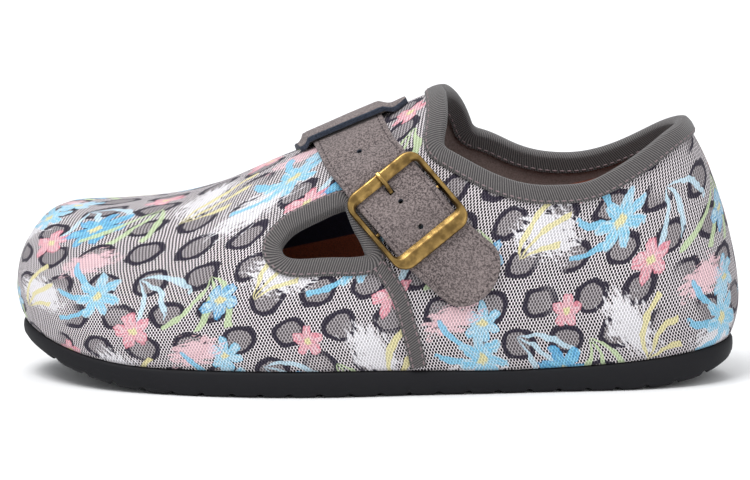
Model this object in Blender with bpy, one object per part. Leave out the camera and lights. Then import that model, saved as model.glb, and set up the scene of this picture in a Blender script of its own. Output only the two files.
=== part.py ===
"""Left casual shoe: a cloth clog with a tab, a buckled suede strap and one cut-out on its outer side.

Metres, +Z up. The toe points to -X, the outer (lateral) side faces -Y, and the shoe stands on z = 0.
The upper's shape comes from one last: sheets that rise from the sole's edge to the last's ridge.
A place on the last is a station s (0 at the nose, 1 at the heel) and a girth share q
(-1 at the lateral sole edge, 0 on the ridge, +1 at the medial sole edge).
"""

import math
from typing import NamedTuple

import bmesh
import bpy
import numpy as np

# Driving sizes of the last and the sole
SOLE_LENGTH = 0.2520
BALL_WIDTH = 0.0915
HEEL_WIDTH = 0.0645
SOLE_EDGE = 0.0092
WAIST_DIP = 0.0010
TOE_LIFT = 0.0104
HEEL_LIFT = 0.0056
TOE_SPRING = 0.0135
HEEL_SPRING = 0.0072
SOLE_MARGIN = 0.0008
SOLE_CORNER = 0.0024
TREAD_DEPTH = 0.0010
TREAD_GROOVE = 0.0022
TREAD_PITCH = 0.0105
TOE_HEIGHT = 0.0620
INSTEP_HEIGHT = 0.1016
NOSE_RUN = 0.0224
HEEL_RUN = 0.0563
NOSE_BULGE = 0.0042
SIDE_BULGE = 0.0026
HEEL_BULGE = 0.0034
BULGE_HEIGHT = 0.0180

# Driving sizes of the upper and what is sewn to it
WALL = 0.0022
COLLAR_LATERAL = 0.0720
COLLAR_MEDIAL = 0.0757
COLLAR_HEEL = 0.0924
TAPE_WIDTH = 0.0056
TAPE_THICKNESS = 0.0010
COLLAR_START = 0.0024
GAP = 0.0003
INNER_GAP = 0.0009
FOOTBED_THICKNESS = 0.0050
FOOTBED_INSET = 0.0042
HEEL_CUP = 0.0080
ARCH_RISE = 0.0120

# Driving sizes of the strap, its keeper and its buckle
STRAP_WIDTH = 0.0250
STRAP_THICKNESS = 0.0018
STRAP_LIFT = 0.0004
STRAP_TIP = 0.0100
STRAP_BLEND = 0.0120
THREAD_REACH = 0.0075
KEEPER_LENGTH = 0.0385
KEEPER_THICKNESS = 0.0020
KEEPER_LATERAL = 0.085
KEEPER_MEDIAL = 0.130
BUCKLE_LENGTH = 0.0340
BUCKLE_WIDTH = 0.0325
BUCKLE_CORNER = 0.0055
INNER_CORNER = 0.0018
UPPER_BAR = 0.0040
LOWER_BAR = 0.0050
SIDE_BAR = 0.0021
BUCKLE_SEAT = 0.0021
BUCKLE_THICKNESS = 0.0030
BUCKLE_BEVEL = 0.0006
END_BAR_SEAT = 0.0031
HINGE_HEIGHT = 0.0024
HINGE_RADIUS = 0.0007
EYE_RADIUS = 0.0016
EYE_WALL = 0.0006
PRONG_WIDTH = 0.0016
PRONG_HOLE = 0.0095
PRONG_SLOT = 0.0052

# Mesh counts
VAMP_COLUMNS = 19
TAB_COLUMNS = 8
RIM_COLUMNS = 17
SHELL_ROWS = 13
TAB_FOOT = 0.40
RIM_FOOT = 0.50
SOLE_STATIONS = 38
STRAP_STATIONS = 44
GIRTH_SAMPLES = 65

LATERAL = -1.0
MEDIAL = 1.0


class PlanRow(NamedTuple):
    """One width of the sole's outline."""

    along: float  # share of the sole's length from the toe
    centre: float  # middle of the width, as a share of the ball width, + to the medial side
    half: float  # half width, as a share of the reference width
    heel: float  # how far the reference width follows the heel width instead of the ball width


class RidgeRow(NamedTuple):
    """One height of the last's ridge."""

    along: float  # share of the sole's length from the toe
    rise: float  # 0 at the toe height, 1 at the instep height
    centre: float  # share of the ball width, + to the medial side
    square: float  # exponent of the section at this place


class CollarRow(NamedTuple):
    """One place of the collar edge on both sides."""

    along: float  # share of the sole's length from the toe
    lateral: float  # 0 at the collar's low point, 1 at the heel
    medial: float


class TabRow(NamedTuple):
    """One place of the tab's end."""

    girth: float
    along: float


class StrapRow(NamedTuple):
    """One place of the strap's middle line."""

    along: float  # share of the sole's length from the toe
    girth: float


class KeeperRow(NamedTuple):
    """One cross-section of the keeper."""

    share: float  # share of the keeper's length from its front end
    lift: float  # 0 sewn down on the tab, 1 over the strap
    width: float  # share of its full width


class ProngRow(NamedTuple):
    """One place of the prong's shank, in the buckle's plane."""

    along: float  # from the hinge towards the tip
    height: float
    thick: float


PLAN = (
    PlanRow(0.00, 0.090, 0.000, 0.0),
    PlanRow(0.02, 0.084, 0.195, 0.0),
    PlanRow(0.05, 0.075, 0.295, 0.0),
    PlanRow(0.10, 0.056, 0.385, 0.0),
    PlanRow(0.18, 0.030, 0.455, 0.0),
    PlanRow(0.27, 0.005, 0.493, 0.0),
    PlanRow(0.35, -0.014, 0.500, 0.0),
    PlanRow(0.45, -0.034, 0.470, 0.0),
    PlanRow(0.55, -0.036, 0.466, 0.3),
    PlanRow(0.65, -0.028, 0.491, 0.65),
    PlanRow(0.75, -0.014, 0.527, 1.0),
    PlanRow(0.84, -0.002, 0.500, 1.0),
    PlanRow(0.91, 0.004, 0.434, 1.0),
    PlanRow(0.96, 0.006, 0.326, 1.0),
    PlanRow(1.00, 0.006, 0.000, 1.0),
)

RIDGE = (
    RidgeRow(0.089, 0.000, 0.090, 2.50),
    RidgeRow(0.180, 0.035, 0.080, 2.45),
    RidgeRow(0.220, 0.066, 0.074, 2.40),
    RidgeRow(0.260, 0.132, 0.068, 2.35),
    RidgeRow(0.300, 0.228, 0.062, 2.30),
    RidgeRow(0.340, 0.340, 0.055, 2.25),
    RidgeRow(0.387, 0.466, 0.048, 2.20),
    RidgeRow(0.494, 0.765, 0.030, 2.15),
    RidgeRow(0.573, 1.000, 0.020, 2.15),
    RidgeRow(0.656, 1.170, 0.010, 2.20),
    RidgeRow(0.735, 1.290, 0.006, 2.25),
    RidgeRow(0.775, 1.340, 0.006, 2.25),
)

COLLAR = (
    CollarRow(0.6579, 0.227, 0.480),
    CollarRow(0.6944, 0.069, 0.215),
    CollarRow(0.7214, 0.010, 0.075),
    CollarRow(0.7524, 0.000, 0.005),
    CollarRow(0.7905, 0.044, 0.020),
    CollarRow(0.8377, 0.296, 0.220),
    CollarRow(0.8746, 0.571, 0.500),
    CollarRow(0.9070, 0.840, 0.790),
)

TAB_LATERAL = (
    TabRow(0.000, 0.5889),
    TabRow(-0.097, 0.5909),
    TabRow(-0.203, 0.5901),
    TabRow(-0.260, 0.5873),
    TabRow(-0.292, 0.5880),
)

TAB_MEDIAL = (
    TabRow(0.000, 0.5889),
    TabRow(0.070, 0.5996),
    TabRow(0.130, 0.6107),
    TabRow(0.190, 0.6206),
    TabRow(0.250, 0.6286),
    TabRow(0.285, 0.6330),
)

# The tab's edge where it runs down over the quarter, from the collar to the cut-out
TAB_SEAM = (
    TabRow(0.332, 0.5620),
    TabRow(0.348, 0.5350),
    TabRow(0.364, 0.5100),
    TabRow(0.378, 0.4925),
)

# The quarter's front edge, from under the tab down to the sole
QUARTER_SEAM = (
    TabRow(0.490, 0.4710),
    TabRow(0.550, 0.4845),
    TabRow(0.630, 0.5000),
    TabRow(0.700, 0.5167),
    TabRow(0.787, 0.5345),
    TabRow(0.850, 0.5419),
    TabRow(0.903, 0.5486),
    TabRow(0.985, 0.5566),
)
BELOW_CUTOUT = 3

# The cut-out's rim, clockwise as seen from the lateral side, from its upper rear corner
CUTOUT = (
    TabRow(-0.450, 0.4615),
    TabRow(-0.508, 0.4702),
    TabRow(-0.555, 0.4798),
    TabRow(-0.590, 0.4855),
    TabRow(-0.614, 0.4870),
    TabRow(-0.621, 0.4770),
    TabRow(-0.616, 0.4468),
    TabRow(-0.609, 0.4095),
    TabRow(-0.603, 0.3841),
    TabRow(-0.580, 0.3665),
    TabRow(-0.543, 0.3615),
    TabRow(-0.509, 0.3679),
    TabRow(-0.476, 0.3821),
    TabRow(-0.455, 0.4012),
    TabRow(-0.4375, 0.4218),
    TabRow(-0.423, 0.4437),
    TabRow(-0.425, 0.4560),
)

STRAP = (
    StrapRow(0.4320, 0.430),
    StrapRow(0.4390, 0.300),
    StrapRow(0.4490, 0.150),
    StrapRow(0.4567, 0.000),
    StrapRow(0.4667, -0.150),
    StrapRow(0.4806, -0.260),
    StrapRow(0.5000, -0.3467),
    StrapRow(0.5405, -0.4867),
    StrapRow(0.5810, -0.6033),
    StrapRow(0.6194, -0.6800),
    StrapRow(0.6579, -0.7467),
)
BUCKLE_ROW = 7

KEEPER = (
    KeeperRow(0.00, 0.00, 0.80),
    KeeperRow(0.05, 0.00, 0.95),
    KeeperRow(0.09, 1.05, 1.00),
    KeeperRow(0.20, 1.10, 1.00),
    KeeperRow(0.34, 1.15, 1.00),
    KeeperRow(0.50, 1.20, 1.00),
    KeeperRow(0.64, 1.15, 1.00),
    KeeperRow(0.79, 1.05, 0.95),
    KeeperRow(0.86, 0.00, 0.85),
    KeeperRow(0.94, 0.00, 0.60),
    KeeperRow(1.00, 0.00, 0.30),
)
KEEPER_BACK = 0.44

PRONG = (
    ProngRow(0.0030, 0.00095, 0.0008),
    ProngRow(0.0055, 0.00145, 0.0013),
    ProngRow(0.0078, 0.00220, 0.0014),
    ProngRow(0.0100, 0.00390, 0.0014),
    ProngRow(0.0120, 0.00565, 0.0014),
    ProngRow(0.0138, 0.00620, 0.0014),
    ProngRow(0.0155, 0.00615, 0.0012),
    ProngRow(0.0168, 0.00595, 0.0008),
)


def natural_spline(knots, values, where):
    """Natural cubic spline through the values at the knots, read at any array of places."""
    x = np.asarray(knots, float)
    y = np.asarray(values, float)
    width = np.diff(x)
    system = np.eye(len(x))
    right = np.zeros_like(y)
    for i in range(1, len(x) - 1):
        system[i, i - 1 : i + 2] = width[i - 1], 2 * (width[i - 1] + width[i]), width[i]
        right[i] = 6 * ((y[i + 1] - y[i]) / width[i] - (y[i] - y[i - 1]) / width[i - 1])
    bend = np.linalg.solve(system, right)
    place = np.clip(where, x[0], x[-1])
    k = np.clip(np.searchsorted(x, place) - 1, 0, len(x) - 2)
    shape = place.shape + (1,) * (y.ndim - 1)
    span = width[k].reshape(shape)
    low = ((x[k + 1] - place) / width[k]).reshape(shape)
    high = ((place - x[k]) / width[k]).reshape(shape)
    curve = (low**3 - low) * bend[k] + (high**3 - high) * bend[k + 1]
    return low * y[k] + high * y[k + 1] + curve * span**2 / 6


def station_of(along):
    """Station of a share of the sole's length; even stations crowd towards nose and heel."""
    return np.arccos(1 - 2 * np.asarray(along, float)) / math.pi


def along_of(station):
    return (1 - np.cos(math.pi * np.asarray(station, float))) / 2


PLAN_STATIONS = station_of([row.along for row in PLAN])
PLAN_HALVES = [
    row.half * (BALL_WIDTH * (1 - row.heel) + HEEL_WIDTH * row.heel) for row in PLAN
]
PLAN_CENTRES = [row.centre * BALL_WIDTH for row in PLAN]
RIDGE_ALONG = [row.along for row in RIDGE]
RIDGE_HEIGHTS = [TOE_HEIGHT + row.rise * (INSTEP_HEIGHT - TOE_HEIGHT) for row in RIDGE]
RIDGE_CENTRES = [row.centre * BALL_WIDTH for row in RIDGE]
RIDGE_SQUARES = [row.square for row in RIDGE]


def ease(amount, power):
    return np.clip(amount, 0, 1) ** power


def sole_top(along):
    """Height of the sole's upper edge."""
    dip = WAIST_DIP * np.exp(-(((along - 0.67) / 0.12) ** 2))
    toe = TOE_LIFT * ease((0.22 - along) / 0.22, 2.6)
    heel = HEEL_LIFT * ease((along - 0.70) / 0.30, 2.6)
    return SOLE_EDGE - dip + toe + heel


def sole_bottom(along):
    """Height of the tread: flat from ball to heel, turned up at both ends."""
    toe = TOE_SPRING * ease((0.27 - along) / 0.27, 2.8)
    heel = HEEL_SPRING * ease((along - 0.80) / 0.20, 3.2)
    return toe + heel


def feather_edge(s, side):
    """Line where the upper meets the sole, on one side."""
    half = natural_spline(PLAN_STATIONS, PLAN_HALVES, s)
    centre = natural_spline(PLAN_STATIONS, PLAN_CENTRES, s)
    along = along_of(s)
    x = NOSE_X + SOLE_LENGTH * along
    return np.stack([x, centre + side * half, sole_top(along) + GAP], axis=-1)


def ridge(s):
    """The last's ridge and the exponent of its section."""
    along = along_of(s)
    run = NOSE_RUN * ease((0.25 - along) / 0.25, 2) - HEEL_RUN * ease((along - 0.5) / 0.5, 2)
    place = along + run / SOLE_LENGTH
    x = NOSE_X + SOLE_LENGTH * place
    y = natural_spline(RIDGE_ALONG, RIDGE_CENTRES, place)
    z = natural_spline(RIDGE_ALONG, RIDGE_HEIGHTS, place)
    return np.stack([x, y, z], axis=-1), natural_spline(RIDGE_ALONG, RIDGE_SQUARES, place)


def bulge(s):
    """How far the upper swells over the sole's edge."""
    along = along_of(s)
    nose = (NOSE_BULGE - SIDE_BULGE) * ease((0.2 - along) / 0.2, 2)
    heel = (HEEL_BULGE - SIDE_BULGE) * ease((along - 0.8) / 0.2, 2)
    return SIDE_BULGE + nose + heel


def last_point(s, side, angle):
    """Point on the last: a superellipse sheet from the feather edge (angle 0) to the ridge."""
    foot = feather_edge(s, side)
    top, square = ridge(s)
    rise = np.sin(angle) ** (2 / square)
    reach = np.clip(np.cos(angle), 0, 1) ** (2 / square)
    z = foot[..., 2] + (top[..., 2] - foot[..., 2]) * rise
    out = foot[..., :2] - top[..., :2]
    swell = (z - foot[..., 2]) / BULGE_HEIGHT
    swell = bulge(s) * swell * np.exp(1 - swell) * reach
    away = out / np.linalg.norm(out, axis=-1, keepdims=True)
    flat = top[..., :2] + out * reach[..., None] + away * swell[..., None]
    return np.concatenate([flat, z[..., None]], axis=-1)


def girth_run(s, side):
    """Arc length shares of a sheet's samples, from the ridge to the feather edge."""
    angles = np.linspace(math.pi / 2, 0, GIRTH_SAMPLES)
    points = last_point(s[..., None], side[..., None], angles)
    steps = np.linalg.norm(np.diff(points, axis=-2), axis=-1)
    run = np.concatenate([np.zeros(s.shape + (1,)), np.cumsum(steps, axis=-1)], axis=-1)
    return run / run[..., -1:]


def last(s, q):
    """Point on the last at a station and a girth share."""
    s, q = np.broadcast_arrays(np.clip(s, 0, 1), np.clip(q, -1, 1))
    side = np.where(q < 0, LATERAL, MEDIAL)
    run = girth_run(s, side)
    share = np.abs(q)
    k = np.clip((run <= share[..., None]).sum(-1) - 1, 0, GIRTH_SAMPLES - 2)
    low = np.take_along_axis(run, k[..., None], -1)[..., 0]
    high = np.take_along_axis(run, k[..., None] + 1, -1)[..., 0]
    part = (k + (share - low) / (high - low)) / (GIRTH_SAMPLES - 1)
    return last_point(s, side, math.pi / 2 * (1 - part))


def tangents(s, q):
    """Change of the last's point along the station and along the girth share."""
    step = 1e-3
    s = np.clip(s, 0, 1)
    ahead, behind = np.clip(s + step, 0, 1), np.clip(s - step, 0, 1)
    along = (last(ahead, q) - last(behind, q)) / (ahead - behind)[..., None]
    up, down = np.clip(q + step, -1, 1), np.clip(q - step, -1, 1)
    across = (last(s, up) - last(s, down)) / (up - down)[..., None]
    return along, across


def unit(vectors):
    size = np.linalg.norm(vectors, axis=-1, keepdims=True)
    return vectors / np.maximum(size, 1e-12)


def normal(s, q):
    """Outward normal of the last."""
    along, across = tangents(s, q)
    return unit(np.cross(along, across))


def walk(s, q, direction, distance):
    """Station and girth share reached by going a distance over the last in a direction."""
    along, across = tangents(s, q)
    aa = (along * along).sum(-1)
    ac = (along * across).sum(-1)
    cc = (across * across).sum(-1)
    da = (direction * along).sum(-1) * distance
    dc = (direction * across).sum(-1) * distance
    size = aa * cc - ac * ac
    return s + (da * cc - dc * ac) / size, q + (dc * aa - da * ac) / size


def bisect(below, low, high):
    """Place where below() turns false, for whole arrays at once."""
    for _ in range(30):
        middle = (low + high) / 2
        under = below(middle)
        low = np.where(under, middle, low)
        high = np.where(under, high, middle)
    return (low + high) / 2


def station_at(along, q):
    """Station whose point at a girth share has a given share of the sole's length."""
    along, q = np.broadcast_arrays(np.asarray(along, float), np.asarray(q, float))
    x = NOSE_X + SOLE_LENGTH * along
    return bisect(lambda s: last(s, q)[..., 0] < x, np.zeros(along.shape), np.ones(along.shape))


def girth_at(s, side, height):
    """Girth share on one side at which a sheet reaches a height."""
    s, height = np.broadcast_arrays(np.asarray(s, float), np.asarray(height, float))
    return side * bisect(
        lambda q: last(s, side * q)[..., 2] > height, np.full(s.shape, 1e-6), np.ones(s.shape)
    )


def place_at(along, side, height):
    """Station and girth share of a place given by its length share and height."""
    along, height = np.broadcast_arrays(np.asarray(along, float), np.asarray(height, float))
    s = station_of(along)
    for _ in range(12):
        q = girth_at(s, side, height)
        s = station_at(along, q)
    return s, q


# The overall length is centred on the origin
NOSE_X = -(SOLE_LENGTH + NOSE_BULGE + HEEL_BULGE) / 2 + NOSE_BULGE


def surface_path(stations, girths, count, skip=0.0):
    """Stations and girth shares, evenly spaced in space, along a line over the last."""
    stations = np.asarray(stations, float)
    girths = np.asarray(girths, float)
    points = last(stations, girths)
    run = np.concatenate([[0], np.cumsum(np.linalg.norm(np.diff(points, axis=0), axis=-1))])
    places = np.stack([stations, girths], -1)
    dense = natural_spline(run, places, np.linspace(0, run[-1], 12 * count))
    points = last(dense[:, 0], dense[:, 1])
    run = np.concatenate([[0], np.cumsum(np.linalg.norm(np.diff(points, axis=0), axis=-1))])
    even = np.linspace(skip, run[-1], count)
    return np.interp(even, run, dense[:, 0]), np.interp(even, run, dense[:, 1])


def table_places(rows, side=1.0):
    """Stations and girth shares of a table's rows."""
    girths = side * np.array([row.girth for row in rows])
    return station_at([row.along for row in rows], girths), girths


def edge_places(side):
    """Stations and girth shares of the tab's end and of the collar edge behind it, on one side."""
    tab_s, tab_q = table_places(TAB_LATERAL if side == LATERAL else TAB_MEDIAL)
    low = COLLAR_LATERAL if side == LATERAL else COLLAR_MEDIAL
    rise = np.array([row.lateral if side == LATERAL else row.medial for row in COLLAR])
    heights = low + rise * (COLLAR_HEEL - low)
    rim_s, rim_q = place_at([row.along for row in COLLAR], side, heights)
    heel_q = girth_at(np.array([1.0]), side, COLLAR_HEEL)
    collar_s = np.concatenate([tab_s[-1:], rim_s, [1.0]])
    collar_q = np.concatenate([tab_q[-1:], rim_q, heel_q])
    return (tab_s, tab_q), (collar_s, collar_q)


def new_material(name, colour, roughness, metallic=0.0):
    material = bpy.data.materials.new(name)
    material.use_nodes = True
    shader = material.node_tree.nodes["Principled BSDF"]
    shader.inputs["Base Color"].default_value = (*colour, 1)
    shader.inputs["Roughness"].default_value = roughness
    shader.inputs["Metallic"].default_value = metallic
    return material


def new_object(name, vertices, faces, material, closed=True):
    """Mesh object from points and faces, with doubled points merged."""
    mesh = bpy.data.meshes.new(name)
    mesh.from_pydata([tuple(v) for v in np.asarray(vertices, float)], [], faces)
    shape = bmesh.new()
    shape.from_mesh(mesh)
    bmesh.ops.remove_doubles(shape, verts=shape.verts, dist=0.000005)
    bmesh.ops.dissolve_degenerate(shape, edges=shape.edges, dist=0.000005)
    if closed:
        bmesh.ops.recalc_face_normals(shape, faces=shape.faces)
    shape.to_mesh(mesh)
    shape.free()
    mesh.shade_smooth()
    mesh.set_sharp_from_angle(angle=math.radians(35))
    if material:
        mesh.materials.append(material)
    part = bpy.data.objects.new(name, mesh)
    bpy.context.scene.collection.objects.link(part)
    return part


def grid_faces(rows, columns, wrap_columns=False, wrap_rows=False):
    """Quads of a grid whose points are counted row by row."""
    faces = []
    for i in range(rows if wrap_rows else rows - 1):
        for j in range(columns if wrap_columns else columns - 1):
            following = (i + 1) % rows
            beside = (j + 1) % columns
            faces.append(
                (
                    i * columns + j,
                    i * columns + beside,
                    following * columns + beside,
                    following * columns + j,
                )
            )
    return faces


def sweep(name, rings, material, ring_closed=False):
    """Closed solid from a row of closed outlines, with filled ends unless the row itself closes."""
    rows, columns = rings.shape[:2]
    faces = grid_faces(rows, columns, wrap_columns=True, wrap_rows=ring_closed)
    if not ring_closed:
        faces.append(tuple(range(columns)))
        faces.append(tuple(range((rows - 1) * columns, rows * columns))[::-1])
    return new_object(name, rings.reshape(-1, 3), faces, material)


def add_cut(part, cutter):
    """Subtract a cutter, which stays as a hidden guide."""
    cutter.hide_render = True
    cutter.display_type = "WIRE"
    cut = part.modifiers.new("Cut", "BOOLEAN")
    cut.operation = "DIFFERENCE"
    cut.solver = "EXACT"
    cut.object = cutter


def outline_offset(points, distance):
    """Closed plan outline moved outward by a distance, heights unchanged."""
    ahead = np.roll(points[:, :2], -1, axis=0)
    behind = np.roll(points[:, :2], 1, axis=0)
    run = unit(ahead - behind)
    outward = np.stack([run[:, 1], -run[:, 0]], -1)
    moved = points.copy()
    moved[:, :2] += outward * distance
    return moved


def tread_stations():
    """Sole stations with a pair at each side of every tread groove, and whether each is in one."""
    plain = along_of(np.linspace(0, 1, SOLE_STATIONS))
    edge = 0.0004 / SOLE_LENGTH
    half = TREAD_GROOVE / 2 / SOLE_LENGTH
    places, depths = list(plain), [0.0] * len(plain)
    middle = 0.045
    while middle < 0.965:
        keep = [abs(p - middle) > half + 3 * edge for p in places]
        places = [p for p, ok in zip(places, keep) if ok]
        depths = [d for d, ok in zip(depths, keep) if ok]
        places += [middle - half - edge, middle - half, middle + half, middle + half + edge]
        depths += [0.0, 1.0, 1.0, 0.0]
        middle += TREAD_PITCH / SOLE_LENGTH
    order = np.argsort(places)
    return station_of(np.array(places)[order]), np.array(depths)[order]


def ladder(upper, lower, count):
    """Faces that close the top and the bottom of a stack of outlines, side to side."""
    faces = []
    for base, flip in ((upper, False), (lower, True)):
        size = 2 * count - 2
        for i in range(count - 1):
            left, left_next = base + i, base + i + 1
            right, right_next = base + (size - i) % size, base + (size - i - 1) % size
            quad = [left, left_next, right_next, right]
            quad = list(dict.fromkeys(quad))
            faces.append(tuple(quad[::-1] if flip else quad))
    return faces


def closed_outline(stations, distance):
    """Feather edge round both sides, moved outward."""
    lateral = feather_edge(stations, LATERAL)
    medial = feather_edge(stations, MEDIAL)
    return outline_offset(np.concatenate([lateral, medial[-2:0:-1]]), distance)


def build_outsole(material):
    stations, depths = tread_stations()
    count = len(stations)
    ring_stations = np.concatenate([stations, stations[-2:0:-1]])
    ring_depths = np.concatenate([depths, depths[-2:0:-1]]) * TREAD_DEPTH
    top = sole_top(along_of(ring_stations))
    bottom = sole_bottom(along_of(ring_stations))
    levels = (
        (SOLE_MARGIN, top),
        (SOLE_MARGIN + 0.0003, (top + bottom) / 2),
        (SOLE_MARGIN - 0.0002, bottom + SOLE_CORNER),
        (SOLE_MARGIN - 0.3 * SOLE_CORNER, bottom + 0.35 * SOLE_CORNER + 0.6 * ring_depths),
        (SOLE_MARGIN - SOLE_CORNER, bottom + ring_depths),
    )
    rings = []
    for distance, heights in levels:
        ring = closed_outline(stations, distance)
        ring[:, 2] = heights
        rings.append(ring)
    size = 2 * count - 2
    faces = grid_faces(len(rings), size, wrap_columns=True)
    faces += ladder(0, (len(rings) - 1) * size, count)
    return new_object("outsole", np.concatenate(rings), faces, material)


def build_footbed(material):
    stations = station_of(np.linspace(0.012, 0.988, 31))
    across = np.linspace(-1, 1, 11)
    lateral = feather_edge(stations, LATERAL)
    medial = feather_edge(stations, MEDIAL)
    along = along_of(stations)
    middle = (lateral + medial) / 2
    half = (medial - lateral)[:, 1] / 2 - FOOTBED_INSET
    y = middle[:, 1][:, None] + half[:, None] * across
    x = np.clip(
        np.broadcast_to(middle[:, 0][:, None], y.shape),
        NOSE_X + FOOTBED_INSET,
        NOSE_X + SOLE_LENGTH - FOOTBED_INSET,
    )
    low = np.broadcast_to((sole_top(along) + GAP)[:, None], y.shape)
    cup = HEEL_CUP * ease((along - 0.62) / 0.2, 1.5)[:, None] * np.abs(across) ** 4
    arch = np.exp(-(((along - 0.56) / 0.13) ** 2))[:, None] * ease((across + 0.1) / 1.1, 3)
    end = 0.35 + 0.65 * ease((along - 0.012) / 0.06, 0.5)[:, None]
    high = low + FOOTBED_THICKNESS * end + cup + ARCH_RISE * arch
    rows, columns = y.shape
    upper = np.stack([x, y, high], -1).reshape(-1, 3)
    lower = np.stack([x, y, low], -1).reshape(-1, 3)
    size = rows * columns
    faces = grid_faces(rows, columns)
    faces += [tuple(size + i for i in face)[::-1] for face in grid_faces(rows, columns)]
    rim = [i * columns for i in range(rows)]
    rim += [(rows - 1) * columns + j for j in range(1, columns)]
    rim += [i * columns + columns - 1 for i in range(rows - 2, -1, -1)]
    rim += list(range(columns - 2, 0, -1))
    for first, second in zip(rim, rim[1:] + rim[:1]):
        faces.append((first, second, size + second, size + first))
    return new_object("footbed", np.concatenate([upper, lower]), faces, material)


def half_shell(side):
    """Grid of points on one half of the upper, from the feather edge to the ridge or the collar."""
    tab_s = station_at(np.array([TAB_LATERAL[0].along]), np.array([0.0]))[0]
    ridge_s, _ = surface_path(np.linspace(0, tab_s, 30), np.zeros(30), VAMP_COLUMNS + 1)
    tab, collar = edge_places(side)
    tab_s, tab_q = surface_path(*tab, TAB_COLUMNS + 1)
    rim_s, rim_q = surface_path(*collar, RIM_COLUMNS + 1)
    feet = []
    spans = ((0, TAB_FOOT), (TAB_FOOT, RIM_FOOT), (RIM_FOOT, 1))
    for (low, high), columns in zip(spans, (VAMP_COLUMNS, TAB_COLUMNS, RIM_COLUMNS)):
        line = np.linspace(station_of(low), station_of(high), 30)
        feet.append(surface_path(line, np.full(30, side), columns + 1)[0])
    top_s = np.concatenate([ridge_s, tab_s[1:], rim_s[1:]])
    top_q = np.concatenate([0 * ridge_s, tab_q[1:], rim_q[1:]])
    bottom_s = np.concatenate([feet[0], feet[1][1:], feet[2][1:]])
    rows = np.linspace(0, 1, SHELL_ROWS + 1)[:, None]
    s = bottom_s * (1 - rows) + top_s * rows
    q = side * (1 - rows) + top_q * rows
    return last(s, np.where(q == 0, side * 1e-9, q))


def build_upper(material):
    """Hollow shell: the last's sheet, thickened inward, with the cut-out cut through it."""
    points = []
    faces = []
    for side in (LATERAL, MEDIAL):
        grid = half_shell(side)
        rows, columns = grid.shape[:2]
        offset = sum(len(p) for p in points)
        points.append(grid.reshape(-1, 3))
        for face in grid_faces(rows, columns):
            face = tuple(offset + i for i in face)
            faces.append(face if side == LATERAL else face[::-1])
    upper = new_object("upper", np.concatenate(points), faces, material, closed=False)
    wall = upper.modifiers.new("Wall", "SOLIDIFY")
    wall.thickness = WALL
    wall.offset = -1
    add_cut(upper, build_cutout_cutter())
    return upper


def cutout_path(count):
    s, q = table_places(CUTOUT)
    s = np.append(s, s[0])
    q = np.append(q, q[0])
    return surface_path(s, q, count)


def build_cutout_cutter():
    s, q = cutout_path(29)
    s, q = s[:-1], q[:-1]
    outer = last(s, q) + normal(s, q) * 0.006
    inner = last(s, q) - normal(s, q) * (WALL + 0.006)
    return sweep("cutout_cutter", np.stack([outer, inner]), None)


def edge_frames(s, q, keep_left, closed=False):
    """Points, normals and the direction into the cloth along an edge that runs over the last."""
    points = last(s, q)
    if closed:
        run = np.roll(points, -1, axis=0) - np.roll(points, 1, axis=0)
    else:
        run = np.gradient(points, axis=0)
    up = normal(s, q)
    inward = unit(np.cross(up, unit(run)))
    return points, up, inward if keep_left else -inward


def binding_rings(s, q, keep_left, closed=False):
    """Folded tape round an edge: two legs that follow the wall, and a rounded fold."""
    points, up, inward = edge_frames(s, q, keep_left, closed)
    outside = GAP + TAPE_THICKNESS
    inside = -WALL - INNER_GAP - TAPE_THICKNESS
    centre = (outside + inside) / 2
    profile = [
        (TAPE_WIDTH, GAP),
        (TAPE_WIDTH, outside),
        (TAPE_WIDTH / 2, outside),
        (0.0, outside),
        (-0.75 * outside, outside + 0.25 * (centre - outside)),
        (-outside, centre),
        (-0.75 * outside, inside - 0.25 * (inside - centre)),
        (0.0, inside),
        (TAPE_WIDTH / 2, inside),
        (TAPE_WIDTH, inside),
        (TAPE_WIDTH, inside + TAPE_THICKNESS),
        (TAPE_WIDTH / 2, inside + TAPE_THICKNESS),
        (-GAP, inside + TAPE_THICKNESS),
        (-GAP, GAP),
        (TAPE_WIDTH / 2, GAP),
    ]
    rings = []
    for depth, height in profile:
        if depth > 0:
            far_s, far_q = walk(s, q, inward, depth)
            rings.append(last(far_s, far_q) + normal(far_s, far_q) * height)
        else:
            rings.append(points + inward * depth + up * height)
    return np.stack(rings, axis=1)


def tape_rings(s, q, half_width, low, high):
    """Flat tape along a line over the last."""
    points, up, inward = edge_frames(s, q, True)
    rings = []
    for share, height in ((-1, low), (-1, high), (0, high), (1, high), (1, low), (0, low)):
        far_s, far_q = walk(s, q, inward, share * half_width)
        rings.append(last(far_s, far_q) + normal(far_s, far_q) * height)
    return np.stack(rings, axis=1)


def build_bindings(material):
    """Collar, tab and cut-out bindings, folded over their edges."""
    sides = (LATERAL, MEDIAL)
    collar = [surface_path(*edge_places(side)[1], 19, COLLAR_START) for side in sides]
    lateral, medial = [binding_rings(*path, path[1][0] > 0) for path in collar]
    heel = (lateral[-1] + medial[-1]) / 2
    sweep("collar_binding", np.concatenate([lateral[:-1], heel[None], medial[-2::-1]]), material)

    tab = [surface_path(*edge_places(side)[0], 9) for side in sides]
    lateral, medial = [binding_rings(*path, path[1][-1] > 0) for path in tab]
    apex = (lateral[0] + medial[0]) / 2
    sweep("tab_binding", np.concatenate([lateral[:0:-1], apex[None], medial[1:]]), material)

    s, q = cutout_path(33)
    sweep("cutout_binding", binding_rings(s[:-1], q[:-1], True, closed=True), material, True)


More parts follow.
